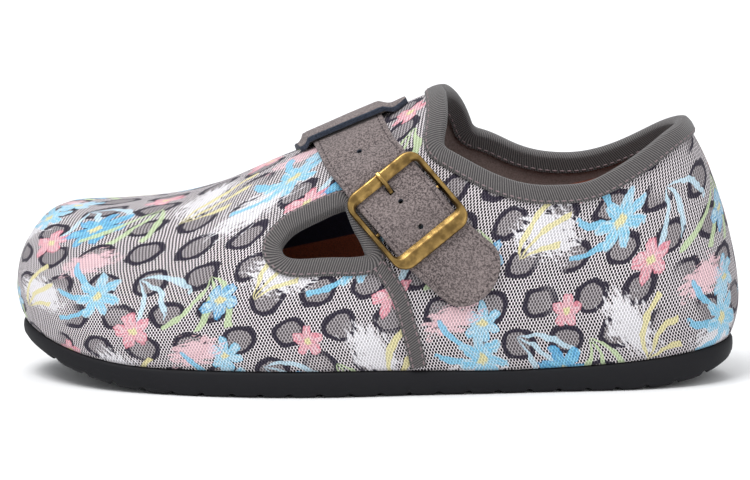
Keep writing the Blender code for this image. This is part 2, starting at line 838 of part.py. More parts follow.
def build_tapes(material):
    """Flat tapes: the tab's edge over each quarter, and each quarter's front edge."""
    for name, side in (("lateral", LATERAL), ("medial", MEDIAL)):
        s, q = surface_path(*table_places(TAB_SEAM, side), 8)
        rings = tape_rings(s, q, TAPE_WIDTH / 2, GAP, GAP + TAPE_THICKNESS)
        sweep(f"tab_tape_{name}", rings, material)
        rows = QUARTER_SEAM[BELOW_CUTOUT:] if side == LATERAL else QUARTER_SEAM
        s, q = surface_path(*table_places(rows, side), 15)
        rings = tape_rings(s, q, TAPE_WIDTH / 2, GAP, GAP + TAPE_THICKNESS)
        sweep(f"quarter_tape_{name}", rings, material)


def strap_path(count):
    """Strap's middle line: points on its underside, normals, and distances from the buckle."""
    alongs = [row.along for row in STRAP]
    girths = np.array([row.girth for row in STRAP])
    stations = station_at(alongs, girths)
    s, q = surface_path(stations, girths, count)
    points = last(s, q)
    run = np.concatenate([[0], np.cumsum(np.linalg.norm(np.diff(points, axis=0), axis=-1))])
    spot = last(stations, girths)[BUCKLE_ROW]
    run -= run[np.argmin(np.linalg.norm(points - spot, axis=-1))]
    return s, q, points, run


def buckle_frame_axes():
    """Buckle's seat on the last: middle, strap direction, cross direction and outward normal."""
    s, q, points, run = strap_path(240)
    middle = int(np.argmin(np.abs(run)))
    outward = normal(s[middle : middle + 1], q[middle : middle + 1])[0]
    reach = 30
    direction = points[middle + reach] - points[middle - reach]
    direction = unit(direction - outward * (direction @ outward))
    return points[middle], direction, np.cross(outward, direction), outward


def on_buckle(along, across, height):
    """World points for places measured in the buckle's own plane."""
    middle, direction, sideways, outward = buckle_frame_axes()
    along, across, height = np.broadcast_arrays(along, across, height)
    return (
        middle
        + along[..., None] * direction
        + across[..., None] * sideways
        + height[..., None] * outward
    )


def strap_height(run):
    """Height of the strap's underside over the buckle's plane, as it threads the frame."""
    over = HINGE_HEIGHT + EYE_RADIUS + GAP
    under = END_BAR_SEAT - 2 * GAP - STRAP_THICKNESS
    rise = np.exp(-((run / THREAD_REACH) ** 2))
    return under + (over - under) * rise


def strap_frames(count):
    """Underside middle points, across directions and normals along the strap."""
    s, q, points, run = strap_path(count)
    middle, _, _, outward = buckle_frame_axes()
    free = points + normal(s, q) * STRAP_LIFT
    drop = (points - middle) @ outward
    flat = points - drop[:, None] * outward + strap_height(run)[:, None] * outward
    near = np.clip((np.abs(run) - BUCKLE_LENGTH / 2) / STRAP_BLEND, 0, 1)[:, None]
    near = near * near * (3 - 2 * near)
    line = free * near + flat * (1 - near)
    up = unit(normal(s, q) * near + outward * (1 - near))
    run_direction = unit(np.gradient(line, axis=0))
    across = unit(np.cross(up, run_direction))
    return line, across, np.cross(run_direction, across), run


def build_strap(material):
    line, across, up, run = strap_frames(STRAP_STATIONS)
    left = run[-1] - run
    half = np.full(run.shape, STRAP_WIDTH / 2)
    tip = left < STRAP_TIP
    round_off = np.sqrt(np.clip(1 - ((STRAP_TIP - left[tip]) / STRAP_TIP) ** 2, 0.16, 1))
    half[tip] = STRAP_WIDTH / 2 * round_off
    edge = STRAP_THICKNESS * 0.3
    profile = (
        (-1, 0, edge),
        (-1, 0, STRAP_THICKNESS - edge),
        (-1, edge, STRAP_THICKNESS),
        (1, edge, STRAP_THICKNESS),
        (1, 0, STRAP_THICKNESS - edge),
        (1, 0, edge),
        (1, edge, 0),
        (-1, edge, 0),
    )
    rings = [
        line + across * (side * (half - inset))[:, None] + up * height
        for side, inset, height in profile
    ]
    strap = sweep("strap", np.stack(rings, axis=1), material)
    reach = PRONG_WIDTH / 2 + GAP
    corners = []
    for height in (-0.006, 0.010):
        for along, across_share in ((-1, -1), (1, -1), (1, 1), (-1, 1)):
            place = on_buckle(
                np.array(-PRONG_HOLE + along * PRONG_SLOT / 2),
                np.array(across_share * reach),
                np.array(height),
            )
            corners.append(place)
    cutter = sweep("strap_slot_cutter", np.array(corners).reshape(2, 4, 3), None)
    add_cut(strap, cutter)


def build_keeper(material):
    """Suede loop that bridges the strap on the ridge, sewn down at both ends."""
    strap_girths = [row.girth for row in STRAP[::-1]]
    strap_alongs = [row.along for row in STRAP[::-1]]
    shares = np.array([row.share for row in KEEPER])
    offset = (shares - KEEPER_BACK) * KEEPER_LENGTH / SOLE_LENGTH
    lift = np.array([row.lift for row in KEEPER])
    wide = np.array([row.width for row in KEEPER])
    base = GAP + lift * (STRAP_LIFT + STRAP_THICKNESS + GAP)
    girths = np.linspace(-KEEPER_LATERAL, KEEPER_MEDIAL, 7)
    rings = []
    for height in (0.0, 1.0):
        line = []
        for girth in girths:
            q = girth * wide
            s = station_at(natural_spline(strap_girths, strap_alongs, q) + offset, q)
            line.append(last(s, q) + normal(s, q) * (base + height * KEEPER_THICKNESS)[:, None])
        rings += line if height == 0.0 else line[::-1]
    sweep("keeper", np.stack(rings, axis=1), material)


def rounded_outline(back, front, half, radius, count):
    """Rounded rectangle in the buckle's plane, from -back to +front along the strap."""
    points = []
    corners = ((front, half, 0.0), (-back, half, 0.5), (-back, -half, 1.0), (front, -half, 1.5))
    for x, y, start in corners:
        centre_x = x - math.copysign(radius, x)
        centre_y = y - math.copysign(radius, y)
        for turn in np.linspace(0, 0.5, count):
            angle = (start + turn) * math.pi
            points.append((centre_x + radius * math.cos(angle), centre_y + radius * math.sin(angle)))
    return np.array(points)


def build_buckle(material):
    """Frame with its middle bar in one casting, and the prong that swings on the bar."""
    outer = rounded_outline(
        BUCKLE_LENGTH / 2, BUCKLE_LENGTH / 2, BUCKLE_WIDTH / 2, BUCKLE_CORNER, 6
    )
    inner = rounded_outline(
        BUCKLE_LENGTH / 2 - UPPER_BAR,
        BUCKLE_LENGTH / 2 - LOWER_BAR,
        BUCKLE_WIDTH / 2 - SIDE_BAR,
        INNER_CORNER,
        6,
    )
    inward = unit(inner - outer)
    top = BUCKLE_SEAT + BUCKLE_THICKNESS
    end = np.clip((np.abs(outer[:, 0]) - 0.62 * BUCKLE_LENGTH / 2) / (0.2 * BUCKLE_LENGTH / 2), 0, 1)
    seat = BUCKLE_SEAT + (END_BAR_SEAT - BUCKLE_SEAT) * end
    rings = []
    for plane, shift, height in (
        (outer, 0.0, seat),
        (outer, 0.0, top - BUCKLE_BEVEL + 0 * seat),
        (outer, BUCKLE_BEVEL, top + 0 * seat),
        (inner, -BUCKLE_BEVEL, top + 0 * seat),
        (inner, 0.0, top - BUCKLE_BEVEL + 0 * seat),
        (inner, 0.0, seat),
    ):
        place = plane + inward * shift
        rings.append(on_buckle(place[:, 0], place[:, 1], height))
    frame = sweep("buckle_frame", np.stack(rings, axis=1), material, ring_closed=True)

    turns = np.linspace(0, 2 * math.pi, 13)[:-1]
    ends = (BUCKLE_WIDTH - SIDE_BAR) / 2
    bar = []
    for across in (-ends, ends):
        bar.append(
            on_buckle(
                HINGE_RADIUS * np.cos(turns),
                across + 0 * turns,
                HINGE_HEIGHT + HINGE_RADIUS * np.sin(turns),
            )
        )
    rod = sweep("hinge_rod", np.stack(bar), None)
    rod.hide_render = True
    rod.display_type = "WIRE"
    join = frame.modifiers.new("Bar", "BOOLEAN")
    join.operation = "UNION"
    join.solver = "EXACT"
    join.object = rod

    eye = EYE_RADIUS - EYE_WALL / 2
    angles = np.radians(np.linspace(150, -90, 10))
    along = list(eye * np.cos(angles)) + [-row.along for row in PRONG]
    height = list(HINGE_HEIGHT + eye * np.sin(angles)) + [row.height for row in PRONG]
    thick = [EYE_WALL] * len(angles) + [row.thick for row in PRONG]
    along, height, thick = np.array(along), np.array(height), np.array(thick)
    run = unit(np.stack([np.gradient(along), np.gradient(height)], -1))
    rings = []
    for side, share in ((-1, -1), (-1, 1), (1, 1), (1, -1)):
        rings.append(
            on_buckle(
                along - run[:, 1] * share * thick / 2,
                side * PRONG_WIDTH / 2 + 0 * along,
                height + run[:, 0] * share * thick / 2,
            )
        )
    sweep("buckle_prong", np.stack(rings, axis=1), material)


def main():
    for old in list(bpy.data.objects):
        bpy.data.objects.remove(old, do_unlink=True)
    rubber = new_material("sole_rubber", (0.018, 0.018, 0.022), 0.75)
    bed = new_material("footbed_suede", (0.13, 0.05, 0.03), 0.85)
    cloth = new_material("upper_cloth", (0.30, 0.27, 0.29), 0.85)
    tape = new_material("binding_tape", (0.14, 0.14, 0.14), 0.80)
    suede = new_material("strap_suede", (0.19, 0.165, 0.155), 0.90)
    brass = new_material("buckle_brass", (0.42, 0.29, 0.11), 0.35, 1.0)
    build_outsole(rubber)
    build_footbed(bed)
    build_upper(cloth)
    build_bindings(tape)
    build_tapes(tape)
    build_strap(suede)
    build_keeper(suede)
    build_buckle(brass)


main()
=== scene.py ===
"""Looks of the left casual shoe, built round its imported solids.

Metres, +Z up, toe to -X, outer (lateral) side to -Y. Every soft surface is worked out from one
last. A place on it is a station s (0 at the nose, 1 at the heel) and a girth share q (-1 at the
lateral sole edge, 0 on the ridge, +1 at the medial sole edge), so each piece lies on its solid.
"""

from __future__ import annotations

import logging
import math
from dataclasses import dataclass, field
from enum import Enum
from functools import cached_property
from typing import Callable, NamedTuple, Sequence

import bmesh
import bpy
import numpy as np
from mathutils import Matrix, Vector

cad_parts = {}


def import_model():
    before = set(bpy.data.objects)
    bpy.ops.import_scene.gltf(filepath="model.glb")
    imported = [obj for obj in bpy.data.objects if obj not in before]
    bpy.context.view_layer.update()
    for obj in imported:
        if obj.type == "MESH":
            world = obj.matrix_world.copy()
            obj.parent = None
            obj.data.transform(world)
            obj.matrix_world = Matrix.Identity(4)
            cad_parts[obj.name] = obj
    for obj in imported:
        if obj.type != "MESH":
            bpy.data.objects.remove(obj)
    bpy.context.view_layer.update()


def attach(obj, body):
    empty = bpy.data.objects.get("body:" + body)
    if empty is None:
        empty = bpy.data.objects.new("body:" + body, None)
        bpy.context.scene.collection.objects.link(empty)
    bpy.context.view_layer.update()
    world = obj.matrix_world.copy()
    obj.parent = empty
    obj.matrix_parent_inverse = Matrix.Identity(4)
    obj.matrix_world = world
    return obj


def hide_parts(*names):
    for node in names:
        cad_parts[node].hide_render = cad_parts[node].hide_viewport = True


LOG = logging.getLogger("shoe")
Array = np.ndarray
Material = bpy.types.Material
Piece = bpy.types.Object
Socket = bpy.types.NodeSocket
Tree = bpy.types.NodeTree
Pair = tuple[Array, Array]
LATERAL = -1.0
MEDIAL = 1.0
ROOT = "root"


class PlanRow(NamedTuple):
    """One width of the sole's outline."""

    along: float  # share of the sole's length from the toe
    centre: float  # middle of the width, as a share of the ball width, + to the medial side
    half: float  # half width, as a share of the reference width
    heel: float  # how far the reference width follows the heel width instead of the ball width


class RidgeRow(NamedTuple):
    """One height of the last's ridge."""

    along: float  # share of the sole's length from the toe
    rise: float  # 0 at the toe height, 1 at the instep height
    centre: float  # share of the ball width, + to the medial side
    square: float  # exponent of the section at this place


class CollarRow(NamedTuple):
    """One place of the collar edge on both sides."""

    along: float  # share of the sole's length from the toe
    lateral: float  # 0 at the collar's low point, 1 at the heel
    medial: float


class TabRow(NamedTuple):
    """One place of an edge or a seam."""

    girth: float  # girth share
    along: float  # share of the sole's length from the toe


class StrapRow(NamedTuple):
    """One place of the strap's middle line."""

    along: float  # share of the sole's length from the toe
    girth: float  # girth share


class KeeperRow(NamedTuple):
    """One cross-section of the keeper."""

    share: float  # share of the keeper's length from its front end
    lift: float  # 0 sewn down on the tab, 1 over the strap
    width: float  # share of its full width


class ProngRow(NamedTuple):
    """One place of the prong's shank, in the buckle's plane."""

    along: float  # from the hinge towards the tip
    height: float
    thick: float


class BezelRow(NamedTuple):
    """One place of the buckle frame's cross-section."""

    share: float  # 0 on the outer outline, 1 on the inner
    rise: float  # 0 at the seat, 1 at the top


def rows(kind: type, *values: tuple) -> tuple:
    """Rows of one kind."""
    return tuple(kind(*row) for row in values)


def column(table: Sequence[NamedTuple], name: str) -> Array:
    """One column of a table."""
    return np.array([getattr(row, name) for row in table])


def bisect(under: Callable[[Array], Array], low: Array, high: Array, turns: int = 26) -> Array:
    """Place where a test that holds at first stops holding, by halving.

    Args:
        under: the test, true below the place.
        low: lower bounds.
        high: upper bounds.
        turns: number of halvings.

    Returns:
        The middle of the last bounds.
    """
    for _ in range(turns):
        middle = (low + high) / 2
        stays = under(middle)
        low, high = np.where(stays, middle, low), np.where(stays, high, middle)
    return (low + high) / 2


# The tables of the part's source
PLAN = rows(
    PlanRow,
    (0.00, 0.090, 0.000, 0.0),
    (0.02, 0.084, 0.195, 0.0),
    (0.05, 0.075, 0.295, 0.0),
    (0.10, 0.056, 0.385, 0.0),
    (0.18, 0.030, 0.455, 0.0),
    (0.27, 0.005, 0.493, 0.0),
    (0.35, -0.014, 0.500, 0.0),
    (0.45, -0.034, 0.470, 0.0),
    (0.55, -0.036, 0.466, 0.3),
    (0.65, -0.028, 0.491, 0.65),
    (0.75, -0.014, 0.527, 1.0),
    (0.84, -0.002, 0.500, 1.0),
    (0.91, 0.004, 0.434, 1.0),
    (0.96, 0.006, 0.326, 1.0),
    (1.00, 0.006, 0.000, 1.0),
)

RIDGE = rows(
    RidgeRow,
    (0.089, 0.000, 0.090, 2.50),
    (0.180, 0.035, 0.080, 2.45),
    (0.220, 0.066, 0.074, 2.40),
    (0.260, 0.132, 0.068, 2.35),
    (0.300, 0.228, 0.062, 2.30),
    (0.340, 0.340, 0.055, 2.25),
    (0.387, 0.466, 0.048, 2.20),
    (0.494, 0.765, 0.030, 2.15),
    (0.573, 1.000, 0.020, 2.15),
    (0.656, 1.170, 0.010, 2.20),
    (0.735, 1.290, 0.006, 2.25),
    (0.775, 1.340, 0.006, 2.25),
)

COLLAR = rows(
    CollarRow,
    (0.6579, 0.227, 0.480),
    (0.6944, 0.069, 0.215),
    (0.7214, 0.010, 0.075),
    (0.7524, 0.000, 0.005),
    (0.7905, 0.044, 0.020),
    (0.8377, 0.296, 0.220),
    (0.8746, 0.571, 0.500),
    (0.9070, 0.840, 0.790),
)

TAB_LATERAL = rows(
    TabRow,
    (0.000, 0.5889),
    (-0.097, 0.5909),
    (-0.203, 0.5901),
    (-0.260, 0.5873),
    (-0.292, 0.5880),
)

TAB_MEDIAL = rows(
    TabRow,
    (0.000, 0.5889),
    (0.070, 0.5996),
    (0.130, 0.6107),
    (0.190, 0.6206),
    (0.250, 0.6286),
    (0.285, 0.6330),
)

# The tab's edge where it runs down over the quarter, from the collar to the cut-out
TAB_SEAM = rows(
    TabRow,
    (0.332, 0.5620),
    (0.348, 0.5350),
    (0.364, 0.5100),
    (0.378, 0.4925),
)

# The quarter's front edge, from under the tab down to the sole
QUARTER_SEAM = rows(
    TabRow,
    (0.490, 0.4710),
    (0.550, 0.4845),
    (0.630, 0.5000),
    (0.700, 0.5167),
    (0.787, 0.5345),
    (0.850, 0.5419),
    (0.903, 0.5486),
    (0.985, 0.5566),
)
BELOW_CUTOUT = 3  # first of its rows that lies below the cut-out
# Where the outer side's tape begins, hidden under the cut-out's tape
QUARTER_TOP = TabRow(0.622, 0.4925)

# The cut-out's rim, clockwise as seen from the lateral side, from its upper rear corner
CUTOUT = rows(
    TabRow,
    (-0.450, 0.4615),
    (-0.508, 0.4702),
    (-0.555, 0.4798),
    (-0.590, 0.4855),
    (-0.614, 0.4870),
    (-0.621, 0.4770),
    (-0.616, 0.4468),
    (-0.609, 0.4095),
    (-0.603, 0.3841),
    (-0.580, 0.3665),
    (-0.543, 0.3615),
    (-0.509, 0.3679),
    (-0.476, 0.3821),
    (-0.455, 0.4012),
    (-0.4375, 0.4218),
    (-0.423, 0.4437),
    (-0.425, 0.4560),
)

STRAP = rows(
    StrapRow,
    (0.4320, 0.430),
    (0.4390, 0.300),
    (0.4490, 0.150),
    (0.4567, 0.000),
    (0.4667, -0.150),
    (0.4806, -0.260),
    (0.5000, -0.3467),
    (0.5405, -0.4867),
    (0.5810, -0.6033),
    (0.6194, -0.6800),
    (0.6579, -0.7467),
)
BUCKLE_ROW = 7  # the row under the buckle's middle

KEEPER = rows(
    KeeperRow,
    (0.00, 0.00, 0.80),
    (0.05, 0.00, 0.95),
    (0.09, 1.05, 1.00),
    (0.20, 1.10, 1.00),
    (0.34, 1.15, 1.00),
    (0.50, 1.20, 1.00),
    (0.64, 1.15, 1.00),
    (0.79, 1.05, 0.95),
    (0.86, 0.00, 0.85),
    (0.94, 0.00, 0.60),
    (1.00, 0.00, 0.30),
)
KEEPER_BACK = 0.44  # share of its length in front of the strap's middle

PRONG = rows(
    ProngRow,
    (0.0030, 0.00095, 0.0008),
    (0.0055, 0.00145, 0.0013),
    (0.0078, 0.00220, 0.0014),
    (0.0100, 0.00390, 0.0014),
    (0.0120, 0.00565, 0.0014),
    (0.0138, 0.00620, 0.0014),
    (0.0155, 0.00615, 0.0012),
    (0.0168, 0.00595, 0.0008),
)

BEZEL = rows(
    BezelRow,
    (0.04, 0.00),
    (0.00, 0.12),
    (0.00, 0.62),
    (0.04, 0.84),
    (0.12, 0.97),
    (0.20, 1.00),
    (0.42, 1.00),
    (0.62, 1.00),
    (0.70, 0.99),
    (0.76, 0.93),
    (1.00, 0.42),
    (1.00, 0.12),
    (0.95, 0.00),
    (0.50, 0.00),
)


def natural_spline(knots: Sequence[float], values: Sequence, where: Array) -> Array:
    """Natural cubic spline: second derivatives solve the usual three-term system, zero at the ends.

    Args:
        knots: rising places of the values.
        values: one number or point for each knot.
        where: places to read, any shape.

    Returns:
        The spline at the places.
    """
    x = np.asarray(knots, float)
    y = np.asarray(values, float)
    width = np.diff(x)
    system = np.eye(len(x))
    right = np.zeros_like(y)
    for i in range(1, len(x) - 1):
        system[i, i - 1 : i + 2] = width[i - 1], 2 * (width[i - 1] + width[i]), width[i]
        right[i] = 6 * ((y[i + 1] - y[i]) / width[i] - (y[i] - y[i - 1]) / width[i - 1])
    bend = np.linalg.solve(system, right)
    place = np.clip(where, x[0], x[-1])
    k = np.clip(np.searchsorted(x, place) - 1, 0, len(x) - 2)
    shape = place.shape + (1,) * (y.ndim - 1)
    span = width[k].reshape(shape)
    low = ((x[k + 1] - place) / width[k]).reshape(shape)
    high = ((place - x[k]) / width[k]).reshape(shape)
    curve = (low**3 - low) * bend[k] + (high**3 - high) * bend[k + 1]
    return low * y[k] + high * y[k + 1] + curve * span**2 / 6


def unit(vectors: Array) -> Array:
    """Vectors divided by their length."""
    size = np.linalg.norm(vectors, axis=-1, keepdims=True)
    return vectors / np.maximum(size, 1e-12)


def ease(amount: Array, power: float) -> Array:
    """Amount held between 0 and 1 and raised to a power."""
    return np.clip(amount, 0, 1) ** power


def soft_step(amount: Array) -> Array:
    """Smooth rise 3a^2 - 2a^3 of an amount held between 0 and 1."""
    a = np.clip(amount, 0, 1)
    return a * a * (3 - 2 * a)


def run_length(points: Array) -> Array:
    """Arc length of a line of points, from its first."""
    steps = np.linalg.norm(np.diff(points, axis=0), axis=-1)
    return np.concatenate([[0], np.cumsum(steps)])


@dataclass(frozen=True)
class Last:
    """The form that the shoe is built round, with the sizes of its source."""

    sole_length: float = 0.2520
    ball_width: float = 0.0915
    heel_width: float = 0.0645
    sole_edge: float = 0.0092
    waist_dip: float = 0.0010
    toe_lift: float = 0.0104
    heel_lift: float = 0.0056
    toe_spring: float = 0.0135
    heel_spring: float = 0.0072
    toe_height: float = 0.0620
    instep_height: float = 0.1016
    nose_run: float = 0.0224
    heel_run: float = 0.0563
    nose_bulge: float = 0.0042
    side_bulge: float = 0.0026
    heel_bulge: float = 0.0034
    bulge_height: float = 0.0180
    gap: float = 0.0003
    girth_samples: int = 65

    @property
    def nose_x(self) -> float:
        """Place of the sole's front end, with the overall length centred on the origin."""
        return -(self.sole_length + self.nose_bulge + self.heel_bulge) / 2 + self.nose_bulge

    @staticmethod
    def station_of(along: Array | float) -> Array:
        """Station of a share of the sole's length: even stations crowd towards both ends."""
        return np.arccos(1 - 2 * np.asarray(along, float)) / math.pi

    @staticmethod
    def along_of(station: Array) -> Array:
        """Share of the sole's length at a station."""
        return (1 - np.cos(math.pi * np.asarray(station, float))) / 2

    def sole_top(self, along: Array) -> Array:
        """Height of the sole's upper edge: level, dipped at the waist, lifted at both ends."""
        dip = self.waist_dip * np.exp(-(((along - 0.67) / 0.12) ** 2))
        toe = self.toe_lift * ease((0.22 - along) / 0.22, 2.6)
        heel = self.heel_lift * ease((along - 0.70) / 0.30, 2.6)
        return self.sole_edge - dip + toe + heel

    def sole_bottom(self, along: Array) -> Array:
        """Height of the tread: flat from ball to heel, turned up at both ends."""
        toe = self.toe_spring * ease((0.27 - along) / 0.27, 2.8)
        return toe + self.heel_spring * ease((along - 0.80) / 0.20, 3.2)

    def feather_edge(self, s: Array, side: Array | float) -> Array:
        """Line where the upper meets the sole: centre plus or minus the half width."""
        knots, heel = self.station_of(column(PLAN, "along")), column(PLAN, "heel")
        reference = self.ball_width * (1 - heel) + self.heel_width * heel
        half = natural_spline(knots, column(PLAN, "half") * reference, s)
        centre = natural_spline(knots, column(PLAN, "centre") * self.ball_width, s)
        along = self.along_of(s)
        x = self.nose_x + self.sole_length * along
        return np.stack([x, centre + side * half, self.sole_top(along) + self.gap], axis=-1)

    def ridge(self, s: Array) -> Pair:
        """The last's ridge and the exponent of its section at each station."""
        along = self.along_of(s)
        front = self.nose_run * ease((0.25 - along) / 0.25, 2)
        place = along + (front - self.heel_run * ease((along - 0.5) / 0.5, 2)) / self.sole_length
        knots = column(RIDGE, "along")
        rise = natural_spline(knots, column(RIDGE, "rise"), place)
        x = self.nose_x + self.sole_length * place
        y = natural_spline(knots, column(RIDGE, "centre") * self.ball_width, place)
        z = self.toe_height + rise * (self.instep_height - self.toe_height)
        return np.stack([x, y, z], -1), natural_spline(knots, column(RIDGE, "square"), place)

    def bulge(self, s: Array) -> Array:
        """How far the upper swells over the sole's edge."""
        along = self.along_of(s)
        nose = (self.nose_bulge - self.side_bulge) * ease((0.2 - along) / 0.2, 2)
        heel = (self.heel_bulge - self.side_bulge) * ease((along - 0.8) / 0.2, 2)
        return self.side_bulge + nose + heel

    def sheet(self, s: Array, side: Array, angle: Array) -> Array:
        """Superellipse sheet: rise sin^(2/n), reach cos^(2/n), from feather edge to ridge."""
        foot = self.feather_edge(s, side)
        top, square = self.ridge(s)
        rise = np.sin(angle) ** (2 / square)
        reach = np.clip(np.cos(angle), 0, 1) ** (2 / square)
        z = foot[..., 2] + (top[..., 2] - foot[..., 2]) * rise
        out = foot[..., :2] - top[..., :2]
        swell = (z - foot[..., 2]) / self.bulge_height
        swell = self.bulge(s) * swell * np.exp(1 - swell) * reach
        away = unit(out)
        flat = top[..., :2] + out * reach[..., None] + away * swell[..., None]
        return np.concatenate([flat, z[..., None]], axis=-1)

    def girth_table(self, s: Array, side: Array) -> Array:
        """Arc lengths of a sheet's samples from the ridge down to the feather edge."""
        angles = np.linspace(math.pi / 2, 0, self.girth_samples)
        points = self.sheet(s[..., None], side[..., None], angles)
        steps = np.linalg.norm(np.diff(points, axis=-2), axis=-1)
        return np.concatenate([np.zeros(s.shape + (1,)), np.cumsum(steps, axis=-1)], axis=-1)

    def girth(self, s: Array, q: Array) -> Array:
        """Signed distance over the last from the ridge, in metres."""
        s, q = np.broadcast_arrays(np.clip(s, 0, 1), q)
        return q * self.girth_table(s, np.where(q < 0, LATERAL, MEDIAL))[..., -1]

    def at(self, s: Array, q: Array) -> Array:
        """Point on the last at a station and a girth share."""
        s, q = np.broadcast_arrays(np.clip(s, 0, 1), np.clip(q, -1, 1))
        side = np.where(q < 0, LATERAL, MEDIAL)
        run = self.girth_table(s, side)
        run = run / run[..., -1:]
        share = np.abs(q)
        k = np.clip((run <= share[..., None]).sum(-1) - 1, 0, self.girth_samples - 2)
        low = np.take_along_axis(run, k[..., None], -1)[..., 0]
        high = np.take_along_axis(run, k[..., None] + 1, -1)[..., 0]
        part = (k + (share - low) / (high - low)) / (self.girth_samples - 1)
        return self.sheet(s, side, math.pi / 2 * (1 - part))

    def tangents(self, s: Array, q: Array) -> Pair:
        """Change of the point along the station and along the girth share."""
        step = 2e-3
        s = np.clip(s, 0, 1)
        ahead, behind = np.clip(s + step, 0, 1), np.clip(s - step, 0, 1)
        along = (self.at(ahead, q) - self.at(behind, q)) / (ahead - behind)[..., None]
        up, down = np.clip(q + step, -1, 1), np.clip(q - step, -1, 1)
        across = (self.at(s, up) - self.at(s, down)) / (up - down)[..., None]
        return along, across

    def normal(self, s: Array, q: Array) -> Array:
        """Outward normal: the cross product of the two tangents."""
        along, across = self.tangents(s, q)
        return unit(np.cross(along, across))

    def over(self, s: Array, q: Array, height: Array | float) -> Array:
        """Point at a height over the last."""
        return self.at(s, q) + self.normal(s, q) * height

    def walk(self, s: Array, q: Array, direction: Array, distance: float) -> Pair:
        """Place reached by going a distance over the last in a direction."""
        along, across = self.tangents(s, q)
        aa = (along * along).sum(-1)
        ac = (along * across).sum(-1)
        cc = (across * across).sum(-1)
        da = (direction * along).sum(-1) * distance
        dc = (direction * across).sum(-1) * distance
        size = aa * cc - ac * ac
        return s + (da * cc - dc * ac) / size, q + (dc * aa - da * ac) / size

    def station_at(self, along: Array, q: Array) -> Array:
        """Station whose point at a girth share has a given share of the sole's length."""
        along, q = np.broadcast_arrays(np.asarray(along, float), np.asarray(q, float))
        x = self.nose_x + self.sole_length * along
        low, high = np.zeros(along.shape), np.ones(along.shape)
        return bisect(lambda s: self.at(s, q)[..., 0] < x, low, high)

    def girth_at(self, s: Array, side: float, height: Array) -> Array:
        """Girth share on one side at which the last has a height."""
        s, height = np.broadcast_arrays(np.asarray(s, float), np.asarray(height, float))
        low, high = np.full(s.shape, 1e-6), np.ones(s.shape)
        return side * bisect(lambda q: self.at(s, side * q)[..., 2] > height, low, high)

    def path(self, s: Array, q: Array, count: int, skip: float = 0.0) -> Pair:
        """Places evenly spaced in space along a spline over the last.

        Args:
            s: stations of the line's known places.
            q: their girth shares.
            count: number of places to return.
            skip: distance left out at the start.

        Returns:
            Stations and girth shares.
        """
        s, q = np.asarray(s, float), np.asarray(q, float)
        run = run_length(self.at(s, q))
        dense = natural_spline(run, np.stack([s, q], -1), np.linspace(0, run[-1], 6 * count + 60))
        run = run_length(self.at(dense[:, 0], dense[:, 1]))
        even = np.linspace(skip, run[-1], count)
        return np.interp(even, run, dense[:, 0]), np.interp(even, run, dense[:, 1])

    def table(self, rows: Sequence, side: float = 1.0) -> Pair:
        """Stations and girth shares of a table's rows."""
        girths = side * column(rows, "girth")
        return self.station_at(column(rows, "along"), girths), girths


LAST = Last()


@dataclass(frozen=True)
class Openings:
    """Edges of the upper: the tab's end, the collar and the cut-out."""

    collar_lateral: float = 0.0720
    collar_medial: float = 0.0757
    collar_heel: float = 0.0924

    def tab(self, side: float) -> Pair:
        """Places of the tab's end on one side, from the ridge down."""
        return LAST.table(TAB_LATERAL if side == LATERAL else TAB_MEDIAL)

    def collar(self, side: float) -> Pair:
        """Places of the collar edge on one side, from the tab to the heel's middle."""
        tab_s, tab_q = self.tab(side)
        low = self.collar_lateral if side == LATERAL else self.collar_medial
        rise = column(COLLAR, "lateral" if side == LATERAL else "medial")
        height = low + rise * (self.collar_heel - low)
        along = column(COLLAR, "along")
        s = LAST.station_of(along)
        for _ in range(12):
            q = LAST.girth_at(s, side, height)
            s = LAST.station_at(along, q)
        end = LAST.girth_at(np.array([1.0]), side, self.collar_heel)
        return np.concatenate([tab_s[-1:], s, [1.0]]), np.concatenate([tab_q[-1:], q, end])

    def cutout(self, count: int) -> Pair:
        """Places of the cut-out's rim, clockwise from the lateral side, first place repeated."""
        s, q = LAST.table(CUTOUT)
        return LAST.path(np.append(s, s[0]), np.append(q, q[0]), count)


EDGES = Openings()


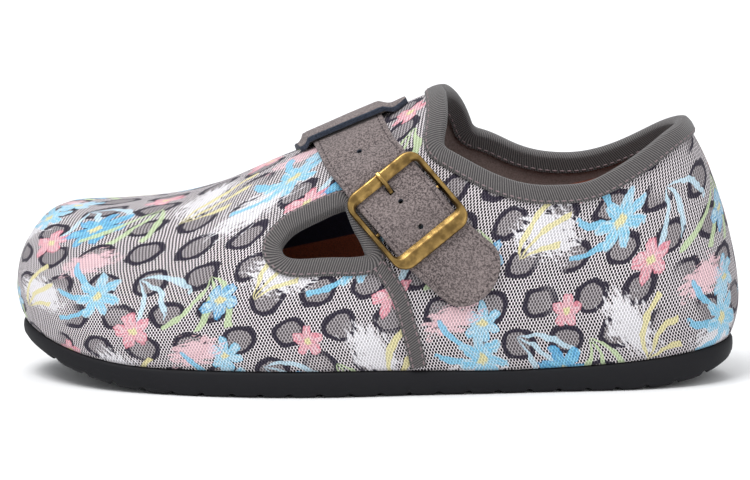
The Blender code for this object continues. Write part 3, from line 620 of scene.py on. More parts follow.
@dataclass
class Shape:
    """Points, faces, UVs and material numbers that are gathered into one mesh."""

    points: list[Array] = field(default_factory=list)
    corners: list[Array] = field(default_factory=list)
    sizes: list[Array] = field(default_factory=list)
    uvs: list[Array] = field(default_factory=list)
    slots: list[Array] = field(default_factory=list)
    count: int = 0

    def add(self, points: Array, faces: Array, uv: Array, slot: int = 0) -> None:
        """Adds points and faces of one size.

        Args:
            points: N points.
            faces: F rows of K point numbers.
            uv: F rows of K texture places.
            slot: material number.
        """
        self.points.append(points.reshape(-1, 3))
        self.corners.append((faces + self.count).ravel())
        self.sizes.append(np.full(len(faces), faces.shape[1]))
        self.uvs.append(uv.reshape(-1, 2))
        self.slots.append(np.full(len(faces), slot))
        self.count += len(self.points[-1])

    def add_grid(
        self,
        grid: Array,
        uv: Array | None = None,
        wrap_rows: bool = False,
        wrap_columns: bool = False,
        caps: bool = False,
        flip: bool = False,
        slot: int = 0,
        keep: Array | None = None,
    ) -> None:
        """Adds a grid of points as quads, with end faces where it is an open tube.

        Args:
            grid: rows by columns of points.
            uv: texture places, with one more row or column where the grid wraps.
            wrap_rows: the last row joins the first.
            wrap_columns: the last column joins the first.
            caps: closes the first and the last row with one face each.
            flip: turns the faces over.
            slot: material number.
            keep: mask of the quads that stay.
        """
        rows, columns = grid.shape[:2]
        high, wide = rows + wrap_rows, columns + wrap_columns
        if uv is None:
            v, u = np.meshgrid(np.linspace(0, 1, wide), np.linspace(0, 1, high))
            uv = np.stack([u, v], -1)
        i, j = np.meshgrid(np.arange(high - 1), np.arange(wide - 1), indexing="ij")
        if keep is not None:
            i, j = i[keep], j[keep]
        i, j = i.ravel(), j.ravel()
        down = np.stack([i, i, i + 1, i + 1], -1)
        side = np.stack([j, j + 1, j + 1, j], -1)
        if flip:
            down, side = down[:, ::-1], side[:, ::-1]
        faces = (down % rows) * columns + side % columns
        self.add(grid, faces, uv[down, side], slot)
        if caps:
            ring = np.arange(columns)
            ends = np.stack([ring, (rows - 1) * columns + ring[::-1]])
            if flip:
                ends = ends[:, ::-1]
            flat = np.broadcast_to(uv[0, 0], ends.shape + (2,))
            self.add(grid[:0], ends - rows * columns, flat, slot)

    def build(self, name: str, materials: Sequence[Material], sharp: float = 40.0) -> Piece:
        """Makes the mesh object, smooth but for edges sharper than an angle in degrees."""
        mesh = bpy.data.meshes.new(name)
        points = np.concatenate(self.points)
        corners, sizes = np.concatenate(self.corners), np.concatenate(self.sizes)
        mesh.vertices.add(len(points))
        mesh.vertices.foreach_set("co", points.ravel())
        mesh.loops.add(len(corners))
        mesh.loops.foreach_set("vertex_index", corners)
        mesh.polygons.add(len(sizes))
        mesh.polygons.foreach_set("loop_start", np.concatenate([[0], np.cumsum(sizes)[:-1]]))
        mesh.polygons.foreach_set("material_index", np.concatenate(self.slots))
        layer = mesh.uv_layers.new(name="UVMap")
        layer.uv.foreach_set("vector", np.concatenate(self.uvs).ravel())
        mesh.update(calc_edges=True)
        mesh.validate()
        self.join(mesh)
        mesh.shade_smooth()
        mesh.set_sharp_from_angle(angle=math.radians(sharp))
        for material in materials:
            mesh.materials.append(material)
        piece = bpy.data.objects.new(name, mesh)
        bpy.context.scene.collection.objects.link(piece)
        return piece

    def join(self, mesh: bpy.types.Mesh) -> None:
        """Joins points at one place, drops unused ones, and turns closed pieces outward."""
        work = bmesh.new()
        work.from_mesh(mesh)
        bmesh.ops.remove_doubles(work, verts=work.verts, dist=0.000002)
        spare = [vert for vert in work.verts if not vert.link_faces]
        bmesh.ops.delete(work, geom=spare, context="VERTS")
        if all(edge.is_manifold for edge in work.edges):
            bmesh.ops.recalc_face_normals(work, faces=work.faces)
        work.to_mesh(mesh)
        work.free()


def carry(piece: Piece, slot: str, *nodes: str) -> Piece:
    """Sets a piece on the shoe's body, hides the solids that it stands for, and logs its faces."""
    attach(piece, ROOT)
    if nodes:
        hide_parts(*nodes)
    LOG.info("%s: %d faces", piece.name, len(piece.data.polygons))
    return piece


def carve(piece: Piece, cutters: Sequence[Piece]) -> None:
    """Cuts shapes out of a piece for good, and removes them."""
    for cutter in cutters:
        cut = piece.modifiers.new("Cut", "BOOLEAN")
        cut.operation = "DIFFERENCE"
        cut.solver = "MANIFOLD"
        cut.object = cutter
    graph = bpy.context.evaluated_depsgraph_get()
    mesh = bpy.data.meshes.new_from_object(piece.evaluated_get(graph))
    piece.modifiers.clear()
    piece.data = mesh
    for cutter in cutters:
        bpy.data.objects.remove(cutter, do_unlink=True)


def add_stitches(
    shape: Shape,
    line: Array,
    up: Array,
    pitch: float,
    length: float,
    radius: float,
    slot: int = 0,
) -> None:
    """Adds a row of stitches: each is an ellipsoid, length along the line, half sunk into it.

    Args:
        shape: mesh that takes them.
        line: points of the seam.
        up: outward normals at the points.
        pitch: distance from one stitch to the next.
        length: length of a stitch.
        radius: half its width.
        slot: material number.
    """
    run = run_length(line)
    count = max(int(run[-1] / pitch), 2)
    where = (np.arange(count) + 0.5) * run[-1] / count
    centre, out, ahead = (
        np.stack([np.interp(where, run, values[:, i]) for i in range(3)], -1)
        for values in (line, up, np.gradient(line, axis=0))
    )
    out, ahead = unit(out), unit(ahead)
    across = unit(np.cross(out, ahead))
    rings, sectors = 5, 6
    polar = np.linspace(0.12, math.pi - 0.12, rings)[:, None]
    turn = np.linspace(0, 2 * math.pi, sectors, endpoint=False)[None, :]
    long = length / 2 * np.cos(polar) + 0 * turn
    wide = radius * np.sin(polar) * np.cos(turn)
    tall = radius * (0.75 * np.sin(polar) * np.sin(turn) + 0.2)
    grid = (
        centre[:, None, None]
        + ahead[:, None, None] * long[..., None]
        + across[:, None, None] * wide[..., None]
        + out[:, None, None] * tall[..., None]
    )
    i, j = np.meshgrid(np.arange(rings - 1), np.arange(sectors), indexing="ij")
    down = np.stack([i, i + 1, i + 1, i], -1).reshape(-1, 4)
    side = np.stack([j, j, j + 1, j + 1], -1).reshape(-1, 4)
    quads = down * sectors + side % sectors
    ends = np.stack([np.arange(sectors), (rings - 1) * sectors + np.arange(sectors)[::-1]])
    step = (np.arange(count) * rings * sectors)[:, None, None]
    for faces in (quads, ends):
        every = (faces[None] + step).reshape(-1, faces.shape[1])
        shape.add(np.zeros((0, 3)), every, np.zeros(every.shape + (2,)), slot)
    shape.points.append(grid.reshape(-1, 3))
    shape.count += grid.size // 3


@dataclass(frozen=True)
class Crease:
    """One soft fold of the cloth, from one place to another of the flat pattern."""

    start: tuple[float, float]  # metres along the length and round the girth
    end: tuple[float, float]
    width: float
    depth: float  # + a trough, - a ridge

    def shift(self, uv: Array) -> Array:
        """Depth times a Gaussian of the distance to the fold's line."""
        a, b = np.array(self.start), np.array(self.end)
        along = np.clip(((uv - a) @ (b - a)) / ((b - a) @ (b - a)), 0, 1)
        off = np.linalg.norm(uv - a - along[..., None] * (b - a), axis=-1)
        return -self.depth * np.exp(-((off / self.width) ** 2))


@dataclass
class Upper:
    """The printed cloth upper with its lining: one hollow shell, cut out on the outer side."""

    cloth: Material
    lining: Material
    wall: float = 0.0022
    vamp_columns: int = 92
    tab_columns: int = 22
    rim_columns: int = 70
    rows: int = 56
    tab_foot: float = 0.40
    rim_foot: float = 0.50
    hem: float = 0.0016
    level_share: float = 0.6  # how far the pattern's rows follow the sole instead of the ridge
    level_girth: float = 0.096  # girth of one side that the levelled rows are spread over
    ripple: float = 0.00018  # height of the cloth's slight unevenness
    creases: tuple[Crease, ...] = (
        Crease((0.070, -0.020), (0.082, -0.052), 0.0060, 0.0007),
        Crease((0.092, -0.030), (0.101, -0.058), 0.0055, 0.0006),
        Crease((0.083, 0.018), (0.095, 0.050), 0.0060, 0.0007),
        Crease((0.104, 0.022), (0.111, 0.052), 0.0055, 0.0005),
        Crease((0.200, -0.075), (0.226, -0.100), 0.0070, 0.0007),
        Crease((0.232, -0.062), (0.240, -0.092), 0.0065, 0.0006),
        Crease((0.190, 0.070), (0.222, 0.098), 0.0070, 0.0007),
        Crease((0.236, 0.060), (0.243, 0.090), 0.0065, 0.0006),
        Crease((0.020, -0.070), (0.060, -0.094), 0.0075, 0.0005),
        Crease((0.135, -0.104), (0.180, -0.106), 0.0060, 0.0004),
    )

    def places(self, side: float) -> Pair:
        """Grid of places on one side: straight mixes of a foot line and a top line.

        Args:
            side: LATERAL or MEDIAL.

        Returns:
            Stations and girth shares, rows from the sole up to the ridge, tab and collar.
        """
        apex = LAST.station_at(np.array([TAB_LATERAL[0].along]), np.array([0.0]))[0]
        ridge, _ = LAST.path(np.linspace(0, apex, 30), np.zeros(30), self.vamp_columns + 1)
        tab_s, tab_q = LAST.path(*EDGES.tab(side), self.tab_columns + 1)
        rim_s, rim_q = LAST.path(*EDGES.collar(side), self.rim_columns + 1)
        feet = []
        spans = ((0, self.tab_foot), (self.tab_foot, self.rim_foot), (self.rim_foot, 1))
        counts = (self.vamp_columns, self.tab_columns, self.rim_columns)
        for (low, high), columns in zip(spans, counts):
            line = np.linspace(LAST.station_of(low), LAST.station_of(high), 30)
            feet.append(LAST.path(line, np.full(30, side), columns + 1)[0])
        top_s = np.concatenate([ridge, tab_s[1:], rim_s[1:]])
        top_q = np.concatenate([0 * ridge, tab_q[1:], rim_q[1:]])
        foot_s = np.concatenate([feet[0], feet[1][1:], feet[2][1:]])
        mix = np.linspace(0, 1, self.rows + 1)[:, None]
        return foot_s * (1 - mix) + top_s * mix, side * (1 - mix) + top_q * mix

    def pattern(self, s: Array, q: Array) -> Array:
        """Flat cloth places: arc length back from the nose, and girth distance from the ridge.

        The girth distance is partly evened out over the length, so that the pattern's rows stay
        level with the sole instead of falling with the ridge.

        Args:
            s: stations.
            q: girth shares, all on one side.

        Returns:
            Texture places in metres.
        """
        stations = np.linspace(0, 1, 141)
        shares = np.linspace(0, 1, 15)
        side = LATERAL if q.mean() < 0 else MEDIAL
        lines = LAST.at(stations[:, None], side * np.maximum(shares, 1e-6)[None])
        steps = np.linalg.norm(np.diff(lines, axis=0), axis=-1)
        runs = np.concatenate([np.zeros((1, len(shares))), np.cumsum(steps, axis=0)])
        place = np.clip(np.abs(q), 0, 1) * (len(shares) - 1)
        k = np.clip(place.astype(int), 0, len(shares) - 2)
        part = place - k
        row = np.clip(s, 0, 1) * (len(stations) - 1)
        m = np.clip(row.astype(int), 0, len(stations) - 2)
        rest = row - m
        near = runs[m, k] * (1 - rest) + runs[m + 1, k] * rest
        far = runs[m, k + 1] * (1 - rest) + runs[m + 1, k + 1] * rest
        level = self.level_share * self.level_girth * q + (1 - self.level_share) * LAST.girth(s, q)
        return np.stack([near * (1 - part) + far * part, level], -1)

    def cut_mask(self, s: Array, q: Array, points: Array) -> Array:
        """Quads that stay: those outside the cut-out's rim and its hidden hem.

        The rim's polygon is tested in (s, q) by counting crossings, and the hem by distance.

        Args:
            s: stations of the grid.
            q: its girth shares.
            points: its points.

        Returns:
            Mask with one value for each quad.
        """
        rim_s, rim_q = EDGES.cutout(121)
        middle_s = (s[:-1, :-1] + s[1:, 1:]) / 2
        middle_q = (q[:-1, :-1] + q[1:, 1:]) / 2
        inside = np.zeros(middle_s.shape, bool)
        for a, b, c, d in zip(rim_s[:-1], rim_q[:-1], rim_s[1:], rim_q[1:]):
            crosses = (b > middle_q) != (d > middle_q)
            place = a + (middle_q - b) * (c - a) / (d - b if d != b else 1e-12)
            inside ^= crosses & (middle_s < place)
        middle = (points[:-1, :-1] + points[1:, 1:]) / 2
        rim = LAST.at(rim_s, rim_q)
        away = np.full(middle.shape[:2], 1.0)
        for point in rim:
            away = np.minimum(away, np.linalg.norm(middle - point, axis=-1))
        return ~(inside | (away < self.hem))

    def build(self) -> Piece:
        """Makes the shell: both sheets moved by the creases, then given their wall inward."""
        shape = Shape()
        for side in (LATERAL, MEDIAL):
            s, q = self.places(side)
            q = np.where(q == 0, side * 1e-9, q)
            points = LAST.at(s, q)
            uv = self.pattern(s, q)
            shift = sum(crease.shift(uv) for crease in self.creases)
            wave = np.sin(uv[..., 0] * 171 + 1.3 * np.sin(uv[..., 1] * 88))
            shift = shift + self.ripple * wave * np.sin(uv[..., 1] * 131 + 0.7)
            edge = soft_step((1 - np.abs(q)) / 0.06) * soft_step(np.abs(uv[..., 1]) / 0.004)
            points = points + LAST.normal(s, q) * (shift * edge)[..., None]
            keep = self.cut_mask(s, q, points) if side == LATERAL else None
            shape.add_grid(points, uv, flip=side == MEDIAL, keep=keep)
        upper = shape.build("upper_cloth", [self.cloth, self.lining], sharp=60)
        wall = upper.modifiers.new("Wall", "SOLIDIFY")
        wall.thickness = self.wall
        wall.offset = -1
        wall.material_offset = 1
        wall.material_offset_rim = 1
        return carry(upper, "upper_cloth", "upper")


@dataclass
class Bindings:
    """Ribbed tape: folded round each edge of the upper, and flat over its seams."""

    tape: Material
    thread: Material
    width: float = 0.0056
    thickness: float = 0.0010
    inner_gap: float = 0.0009
    wall: float = 0.0022
    turn_radius: float = 0.0022
    overlap: float = 0.0030
    stitch_depth: float = 0.0047
    stitch: tuple[float, float, float] = (0.0026, 0.0018, 0.00032)  # pitch, length, radius

    def edge(self, side: float) -> tuple[Array, Array, int]:
        """Tab and collar edge of one side as one line, rounded where they meet.

        Returns:
            Stations, girth shares, and the number of the place where the collar's tape begins.
        """
        tab_s, tab_q = LAST.path(*EDGES.tab(side), 60)
        rim_s, rim_q = LAST.path(*EDGES.collar(side), 180)
        tab_run = run_length(LAST.at(tab_s, tab_q))
        rim_run = run_length(LAST.at(rim_s, rim_q))
        stay, go = tab_run < tab_run[-1] - self.turn_radius, rim_run > self.turn_radius
        s = np.concatenate([tab_s[stay], rim_s[go]])
        q = np.concatenate([tab_q[stay], rim_q[go]])
        s, q = LAST.path(s, q, 150)
        run = run_length(LAST.at(s, q))
        return s, q, int(np.argmin(np.abs(run - tab_run[-1] - self.overlap)))

    def frames(self, s: Array, q: Array, left: bool, closed: bool = False) -> tuple:
        """Points, normals and the direction into the cloth along an edge."""
        points = LAST.at(s, q)
        if closed:
            run = np.roll(points, -1, axis=0) - np.roll(points, 1, axis=0)
        else:
            run = np.gradient(points, axis=0)
        up = LAST.normal(s, q)
        inward = unit(np.cross(up, unit(run)))
        return points, up, inward if left else -inward

    def profile(self) -> Array:
        """Depth into the cloth and height over it, once round the folded tape.

        Two straight legs joined by a half ellipse, and the same way back on the cloth's side.
        """
        outside = LAST.gap + self.thickness
        inside = -(self.wall + self.inner_gap + self.thickness)
        middle, half = (outside + inside) / 2, (outside - inside) / 2
        leg = np.linspace(self.width, 0, 7)
        puff = 0.00045 * np.sin(np.pi * leg / self.width) ** 0.7
        turn = np.linspace(math.pi / 2, -math.pi / 2, 13)[1:-1]
        fold = np.stack([-outside * np.cos(turn), middle + half * np.sin(turn)], -1)
        rows = [
            (self.width, LAST.gap),
            (self.width + 0.0001, LAST.gap + 0.5 * self.thickness),
            *zip(leg - 0.0001, outside - 0.0001 * (leg == self.width) + puff),
            *fold,
            *zip(leg[::-1], inside + 0 * leg),
            (self.width, inside + self.thickness),
            (-LAST.gap, inside + self.thickness),
            (-LAST.gap, LAST.gap),
        ]
        return np.array(rows)

    def rings(self, s: Array, q: Array, left: bool, closed: bool = False) -> Array:
        """Folded tape's cross-sections along an edge."""
        points, up, inward = self.frames(s, q, left, closed)
        rings = []
        for depth, height in self.profile():
            if depth > 0:
                far = LAST.walk(s, q, inward, depth)
                rings.append(LAST.over(*far, height))
            else:
                rings.append(points + inward * depth + up * height)
        return np.stack(rings, axis=1)

    def seams(self, s: Array, q: Array, left: bool, closed: bool = False) -> list[tuple]:
        """Lines and normals of the tape's two rows of stitches, outside and inside."""
        _, _, inward = self.frames(s, q, left, closed)
        far = LAST.walk(s, q, inward, self.stitch_depth)
        up = LAST.normal(*far)
        outside = LAST.gap + self.thickness + 0.00008
        inside = -(self.wall + self.inner_gap + self.thickness)
        return [(LAST.at(*far) + up * outside, up), (LAST.at(*far) + up * inside, -up)]

    def tape_uv(self, rings: Array, wrap_rows: bool) -> Array:
        """Texture places in metres: along the tape, and round its cross-section."""
        middle = rings.mean(axis=1)
        run = run_length(np.concatenate([middle, middle[:1]]) if wrap_rows else middle)
        girth = np.linalg.norm(np.diff(rings[0], axis=0), axis=-1)
        girth = np.concatenate([[0], np.cumsum(girth), [girth.sum() + girth[0]]])
        v, u = np.meshgrid(girth, run)
        return np.stack([u, v], -1)

    def finish(self, name: str, rings: Array, seams: list[tuple], closed: bool = False) -> Piece:
        """Makes one tape with its stitches.

        Args:
            name: name of the solid that the tape stands for.
            rings: its cross-sections.
            seams: lines and normals of its rows of stitches.
            closed: the last cross-section joins the first.

        Returns:
            The tape.
        """
        shape = Shape()
        uv = self.tape_uv(rings, closed)
        shape.add_grid(rings, uv, wrap_rows=closed, wrap_columns=True, caps=not closed)
        for line, up in seams:
            add_stitches(shape, line, up, *self.stitch, slot=1)
        piece = shape.build(f"{name}_tape", [self.tape, self.thread], 50)
        return carry(piece, "binding_tape", name)

    def build_edges(self) -> None:
        """Makes the collar's, the tab's and the cut-out's folded tapes."""
        halves, notches, near, far = [], [], [], []
        for side in (LATERAL, MEDIAL):
            s, q, notch = self.edge(side)
            halves.append(self.rings(s, q, side == MEDIAL))
            notches.append(notch)
            for line, up in self.seams(s, q, side == MEDIAL):
                near.append((line[:notch], up[:notch]))
                far.append((line[notch:], up[notch:]))
        (lateral, medial), (k, m) = halves, notches
        top = (lateral[0] + medial[0]) / 2
        heel = (lateral[-1] + medial[-1]) / 2
        tab = np.concatenate([lateral[k:0:-1], top[None], medial[1 : m + 1]])
        collar = np.concatenate([lateral[k:-1], heel[None], medial[-2 : m - 1 : -1]])
        self.finish("tab_binding", tab[::-1], near)
        self.finish("collar_binding", collar, far)
        s, q = EDGES.cutout(150)
        rings = self.rings(s[:-1], q[:-1], True, True)
        seams = self.seams(s[:-1], q[:-1], True, True)
        self.finish("cutout_binding", rings, seams, closed=True)

    def build_flat(self) -> None:
        """Makes the flat tapes over the tab's and the quarters' seams."""
        half, low, high = self.width / 2, LAST.gap, LAST.gap + self.thickness
        section = [(-1, low), (-1, high - 0.0003), (-0.92, high)]
        section += [(x, high + 0.0001 * (1 - x * x)) for x in (-0.5, 0.0, 0.5)]
        section += [(0.92, high), (1, high - 0.0003), (1, low), (0, low)]
        for name, side in (("lateral", LATERAL), ("medial", MEDIAL)):
            quarter = (QUARTER_TOP, *QUARTER_SEAM[BELOW_CUTOUT:])
            quarter = quarter if side == LATERAL else QUARTER_SEAM
            for kind, seam in (("tab_tape", TAB_SEAM), ("quarter_tape", quarter)):
                s, q = LAST.path(*LAST.table(seam, side), 60)
                _, _, inward = self.frames(s, q, True)
                rings, seams = [], []
                for share, height in section:
                    far = LAST.walk(s, q, inward, share * half)
                    rings.append(LAST.over(*far, height))
                for share in (-0.72, 0.72):
                    far = LAST.walk(s, q, inward, share * half)
                    up = LAST.normal(*far)
                    seams.append((LAST.at(*far) + up * (high + 0.00005), up))
                self.finish(f"{kind}_{name}", np.stack(rings, 1), seams)


@dataclass(frozen=True)
class BuckleSeat:
    """Plane of the buckle: its middle on the last, and three directions."""

    middle: Array
    direction: Array
    sideways: Array
    outward: Array

    def place(self, along: Array, across: Array | float, height: Array | float) -> Array:
        """World points for places measured in the buckle's plane."""
        along, across, height = np.broadcast_arrays(along, across, height)
        return (
            self.middle
            + along[..., None] * self.direction
            + across[..., None] * self.sideways
            + height[..., None] * self.outward
        )


@dataclass
class Strap:
    """The suede strap that runs from the inner side under the keeper and through the buckle."""

    suede: Material
    thread: Material
    edge_paint: Material
    width: float = 0.0262
    thickness: float = 0.0018
    lift: float = 0.0004
    tip: float = 0.0100
    blend: float = 0.0120
    thread_reach: float = 0.0075
    buckle_length: float = 0.0340
    end_bar_seat: float = 0.0031
    hinge_height: float = 0.0024
    eye_radius: float = 0.0016
    slot_middle: float = 0.0097
    slot_length: float = 0.0034
    slot_half: float = 0.0011
    hole_radius: float = 0.00095
    holes: tuple[float, ...] = (-0.0290, -0.0034, 0.0070)
    seam: tuple[float, float, float] = (0.0021, 0.0014, 0.00027)  # pitch, length, radius
    seam_inset: float = 0.0019
    edge_share: float = 0.38  # radius of the rounded edges, as a share of the thickness
    least: float = 0.0002  # half width that is left at the very tip
    rows: int = 260

    def line(self, count: int) -> tuple[Array, Array, Array, Array]:
        """Places, points and distances from the buckle along the strap's middle."""
        table = LAST.table(STRAP)
        s, q = LAST.path(*table, count)
        points = LAST.at(s, q)
        run = run_length(points)
        spot = LAST.at(*table)[BUCKLE_ROW]
        return s, q, points, run - run[np.argmin(np.linalg.norm(points - spot, axis=-1))]

    def seat(self) -> BuckleSeat:
        """Plane that touches the last under the buckle's middle, turned along the strap."""
        s, q, points, run = self.line(240)
        k = int(np.argmin(np.abs(run)))
        outward = LAST.normal(s[k : k + 1], q[k : k + 1])[0]
        way = points[k + 30] - points[k - 30]
        way = unit(way - outward * (way @ outward))
        return BuckleSeat(points[k], way, np.cross(outward, way), outward)

    def frames(self, seat: BuckleSeat) -> tuple[Array, Array, Array, Array]:
        """Underside line, across directions, normals and distances along the strap.

        The line lies on the last, and blends over a short run into a flat one that rises in a
        Gaussian hump over the middle bar and passes under both end bars.
        """
        s, q, points, run = self.line(self.rows)
        free = points + LAST.normal(s, q) * self.lift
        over = self.hinge_height + self.eye_radius + LAST.gap
        under = self.end_bar_seat - 2 * LAST.gap - self.thickness
        height = under + (over - under) * np.exp(-((run / self.thread_reach) ** 2))
        drop = (points - seat.middle) @ seat.outward
        flat = points + (height - drop)[:, None] * seat.outward
        near = soft_step((np.abs(run) - self.buckle_length / 2) / self.blend)[:, None]
        line = free * near + flat * (1 - near)
        up = unit(LAST.normal(s, q) * near + seat.outward * (1 - near))
        ahead = unit(np.gradient(line, axis=0))
        across = unit(np.cross(up, ahead))
        return line, across, np.cross(ahead, across), run

    def build(self, seat: BuckleSeat) -> Piece:
        """Makes the strap with rounded edges, a round tip, its holes and its edge seams."""
        line, across, up, run = self.frames(seat)
        left = run[-1] - run
        half = np.full(run.shape, self.width / 2)
        tip = left < self.tip
        half[tip] *= np.sqrt(np.clip(1 - ((self.tip - left[tip]) / self.tip) ** 2, 0.02, 1))
        edge = self.edge_share * self.thickness
        turn = np.linspace(0, math.pi / 2, 4)
        corner = np.stack([edge * (1 - np.cos(turn)), edge * np.sin(turn)], -1)
        top = [(1, inset, self.thickness - edge + rise) for inset, rise in corner]
        spans = np.linspace(0.85, -0.85, 9)
        rows = top + [(share, edge, self.thickness) for share in spans]
        rows += [(-side, inset, height) for side, inset, height in top[::-1]]
        rows += [(-1, inset, edge - rise) for inset, rise in corner]
        rows += [(share, edge, 0.0) for share in spans[::-1]]
        rows += [(1, inset, edge - rise) for inset, rise in corner[::-1]]
        rings, widths = [], []
        for share, inset, height in rows:
            off = np.sign(share) * (abs(share) * np.maximum(half - inset, self.least))
            rings.append(line + across * off[:, None] + up * height)
            widths.append(off)
        grid = np.stack(rings, axis=1)
        v = np.stack(widths + [widths[0]], axis=1)
        u = np.broadcast_to(run[:, None], v.shape)
        shape = Shape()
        shape.add_grid(grid, np.stack([u, v], -1), wrap_columns=True, caps=True, flip=True)
        materials = [self.suede, self.edge_paint]
        strap = shape.build("strap_suede", materials, 50)
        punches = [self.slot(seat)]
        for place in self.holes:
            k = int(np.argmin(np.abs(run - place)))
            punches.append(self.hole(line[k], across[k], up[k]))
        cutters = []
        for rings in punches:
            punch = Shape()
            punch.add_grid(rings, wrap_columns=True, caps=True, slot=1)
            cutters.append(punch.build("punch", materials))
        carve(strap, cutters)
        seam = Shape()
        keep = left > 0.004
        for side in (-1, 1):
            inset = np.maximum(half - self.seam_inset, self.least)
            rim = line + across * (side * inset)[:, None] + up * self.thickness
            add_stitches(seam, rim[keep], up[keep], *self.seam)
        turn = np.linspace(-1, 1, 30)
        end = len(run) - 1 - int((left < self.seam_inset).sum())
        bow = np.maximum(half[end] - self.seam_inset, 0.0)
        arc = line[end] + across[end] * (turn * bow)[:, None] + up[end] * self.thickness
        add_stitches(seam, arc, np.broadcast_to(up[end], arc.shape), *self.seam)
        carry(seam.build("strap_stitches", [self.thread]), "strap_suede")
        return carry(strap, "strap_suede", "strap")

    def slot(self, seat: BuckleSeat) -> Array:
        """Rings of the block that cuts the prong's slot."""
        along = -self.slot_middle + self.slot_length / 2 * np.array([-1, 1, 1, -1])
        across = self.slot_half * np.array([-1, -1, 1, 1])
        return np.stack([seat.place(along, across, height) for height in (0.010, -0.006)])

    def hole(self, middle: Array, across: Array, up: Array) -> Array:
        """Rings of the cylinder that punches a hole."""
        turn = np.linspace(0, 2 * math.pi, 16, endpoint=False)[:, None]
        side = np.cross(across, up)
        ring = self.hole_radius * (np.cos(turn) * side + np.sin(turn) * across)
        return np.stack([middle + ring - up * 0.002, middle + ring + up * 0.004])


@dataclass
class Keeper:
    """The suede loop on the ridge that the strap runs through."""

    suede: Material
    edge_paint: Material
    length: float = 0.0385
    thickness: float = 0.0020
    lateral: float = 0.085
    medial: float = 0.130
    lift: float = 0.0025
    edge_share: float = 0.12  # bevel of the edges, as a share of the thickness
    texture_half: float = 0.014  # half width in the texture, in metres
    painted: tuple[int, ...] = (0, 1, 12, 13, 14, 19)  # faces of the section that are cut edges

    def build(self) -> Piece:
        """Makes the loop: its height over the last follows the table, its cut edges are painted."""
        girths, alongs = column(STRAP, "girth")[::-1], column(STRAP, "along")[::-1]
        shares = column(KEEPER, "share")
        fine = np.linspace(0, 1, 90)
        sharp = np.interp(fine, shares, column(KEEPER, "lift"))
        lift = np.convolve(np.pad(sharp, 3, "edge"), np.ones(7) / 7, "valid")
        lift = np.maximum(lift, sharp - 0.05)
        wide = np.interp(fine, shares, column(KEEPER, "width"))
        wide[0] *= 0.985
        offset = (fine - KEEPER_BACK) * self.length / LAST.sole_length
        base = LAST.gap + lift * self.lift
        edge = self.edge_share * self.thickness
        rows = [(1.0, edge), (1.0, self.thickness - edge), (0.97, self.thickness)]
        rows += [(share, self.thickness) for share in np.linspace(0.8, -0.8, 9)]
        rows += [(-0.97, self.thickness), (-1.0, self.thickness - edge), (-1.0, edge)]
        rows += [(-0.97, 0.0)] + [(share, 0.0) for share in (-0.5, 0.0, 0.5)] + [(0.97, 0.0)]
        middle, half = (self.medial - self.lateral) / 2, (self.medial + self.lateral) / 2
        rings = []
        for share, height in rows:
            q = (middle + share * half) * wide
            s = LAST.station_at(natural_spline(girths, alongs, q) + offset, q)
            rings.append(LAST.over(s, q, (base + height)[:, None]))
        grid = np.stack(rings, axis=1)
        shape = Shape()
        u = fine * self.length
        v = np.array([share for share, _ in rows] + [1.0]) * self.texture_half
        uv = np.stack(np.broadcast_arrays(u[:, None], v[None]), -1)
        edge_columns = np.zeros((len(fine) - 1, len(rows)), bool)
        edge_columns[:, list(self.painted)] = True
        shape.add_grid(grid, uv, wrap_columns=True, keep=~edge_columns)
        shape.add_grid(grid, uv, wrap_columns=True, caps=True, slot=1, keep=edge_columns)
        keeper = shape.build("keeper_suede", [self.suede, self.edge_paint], 50)
        return carry(keeper, "strap_suede", "keeper")


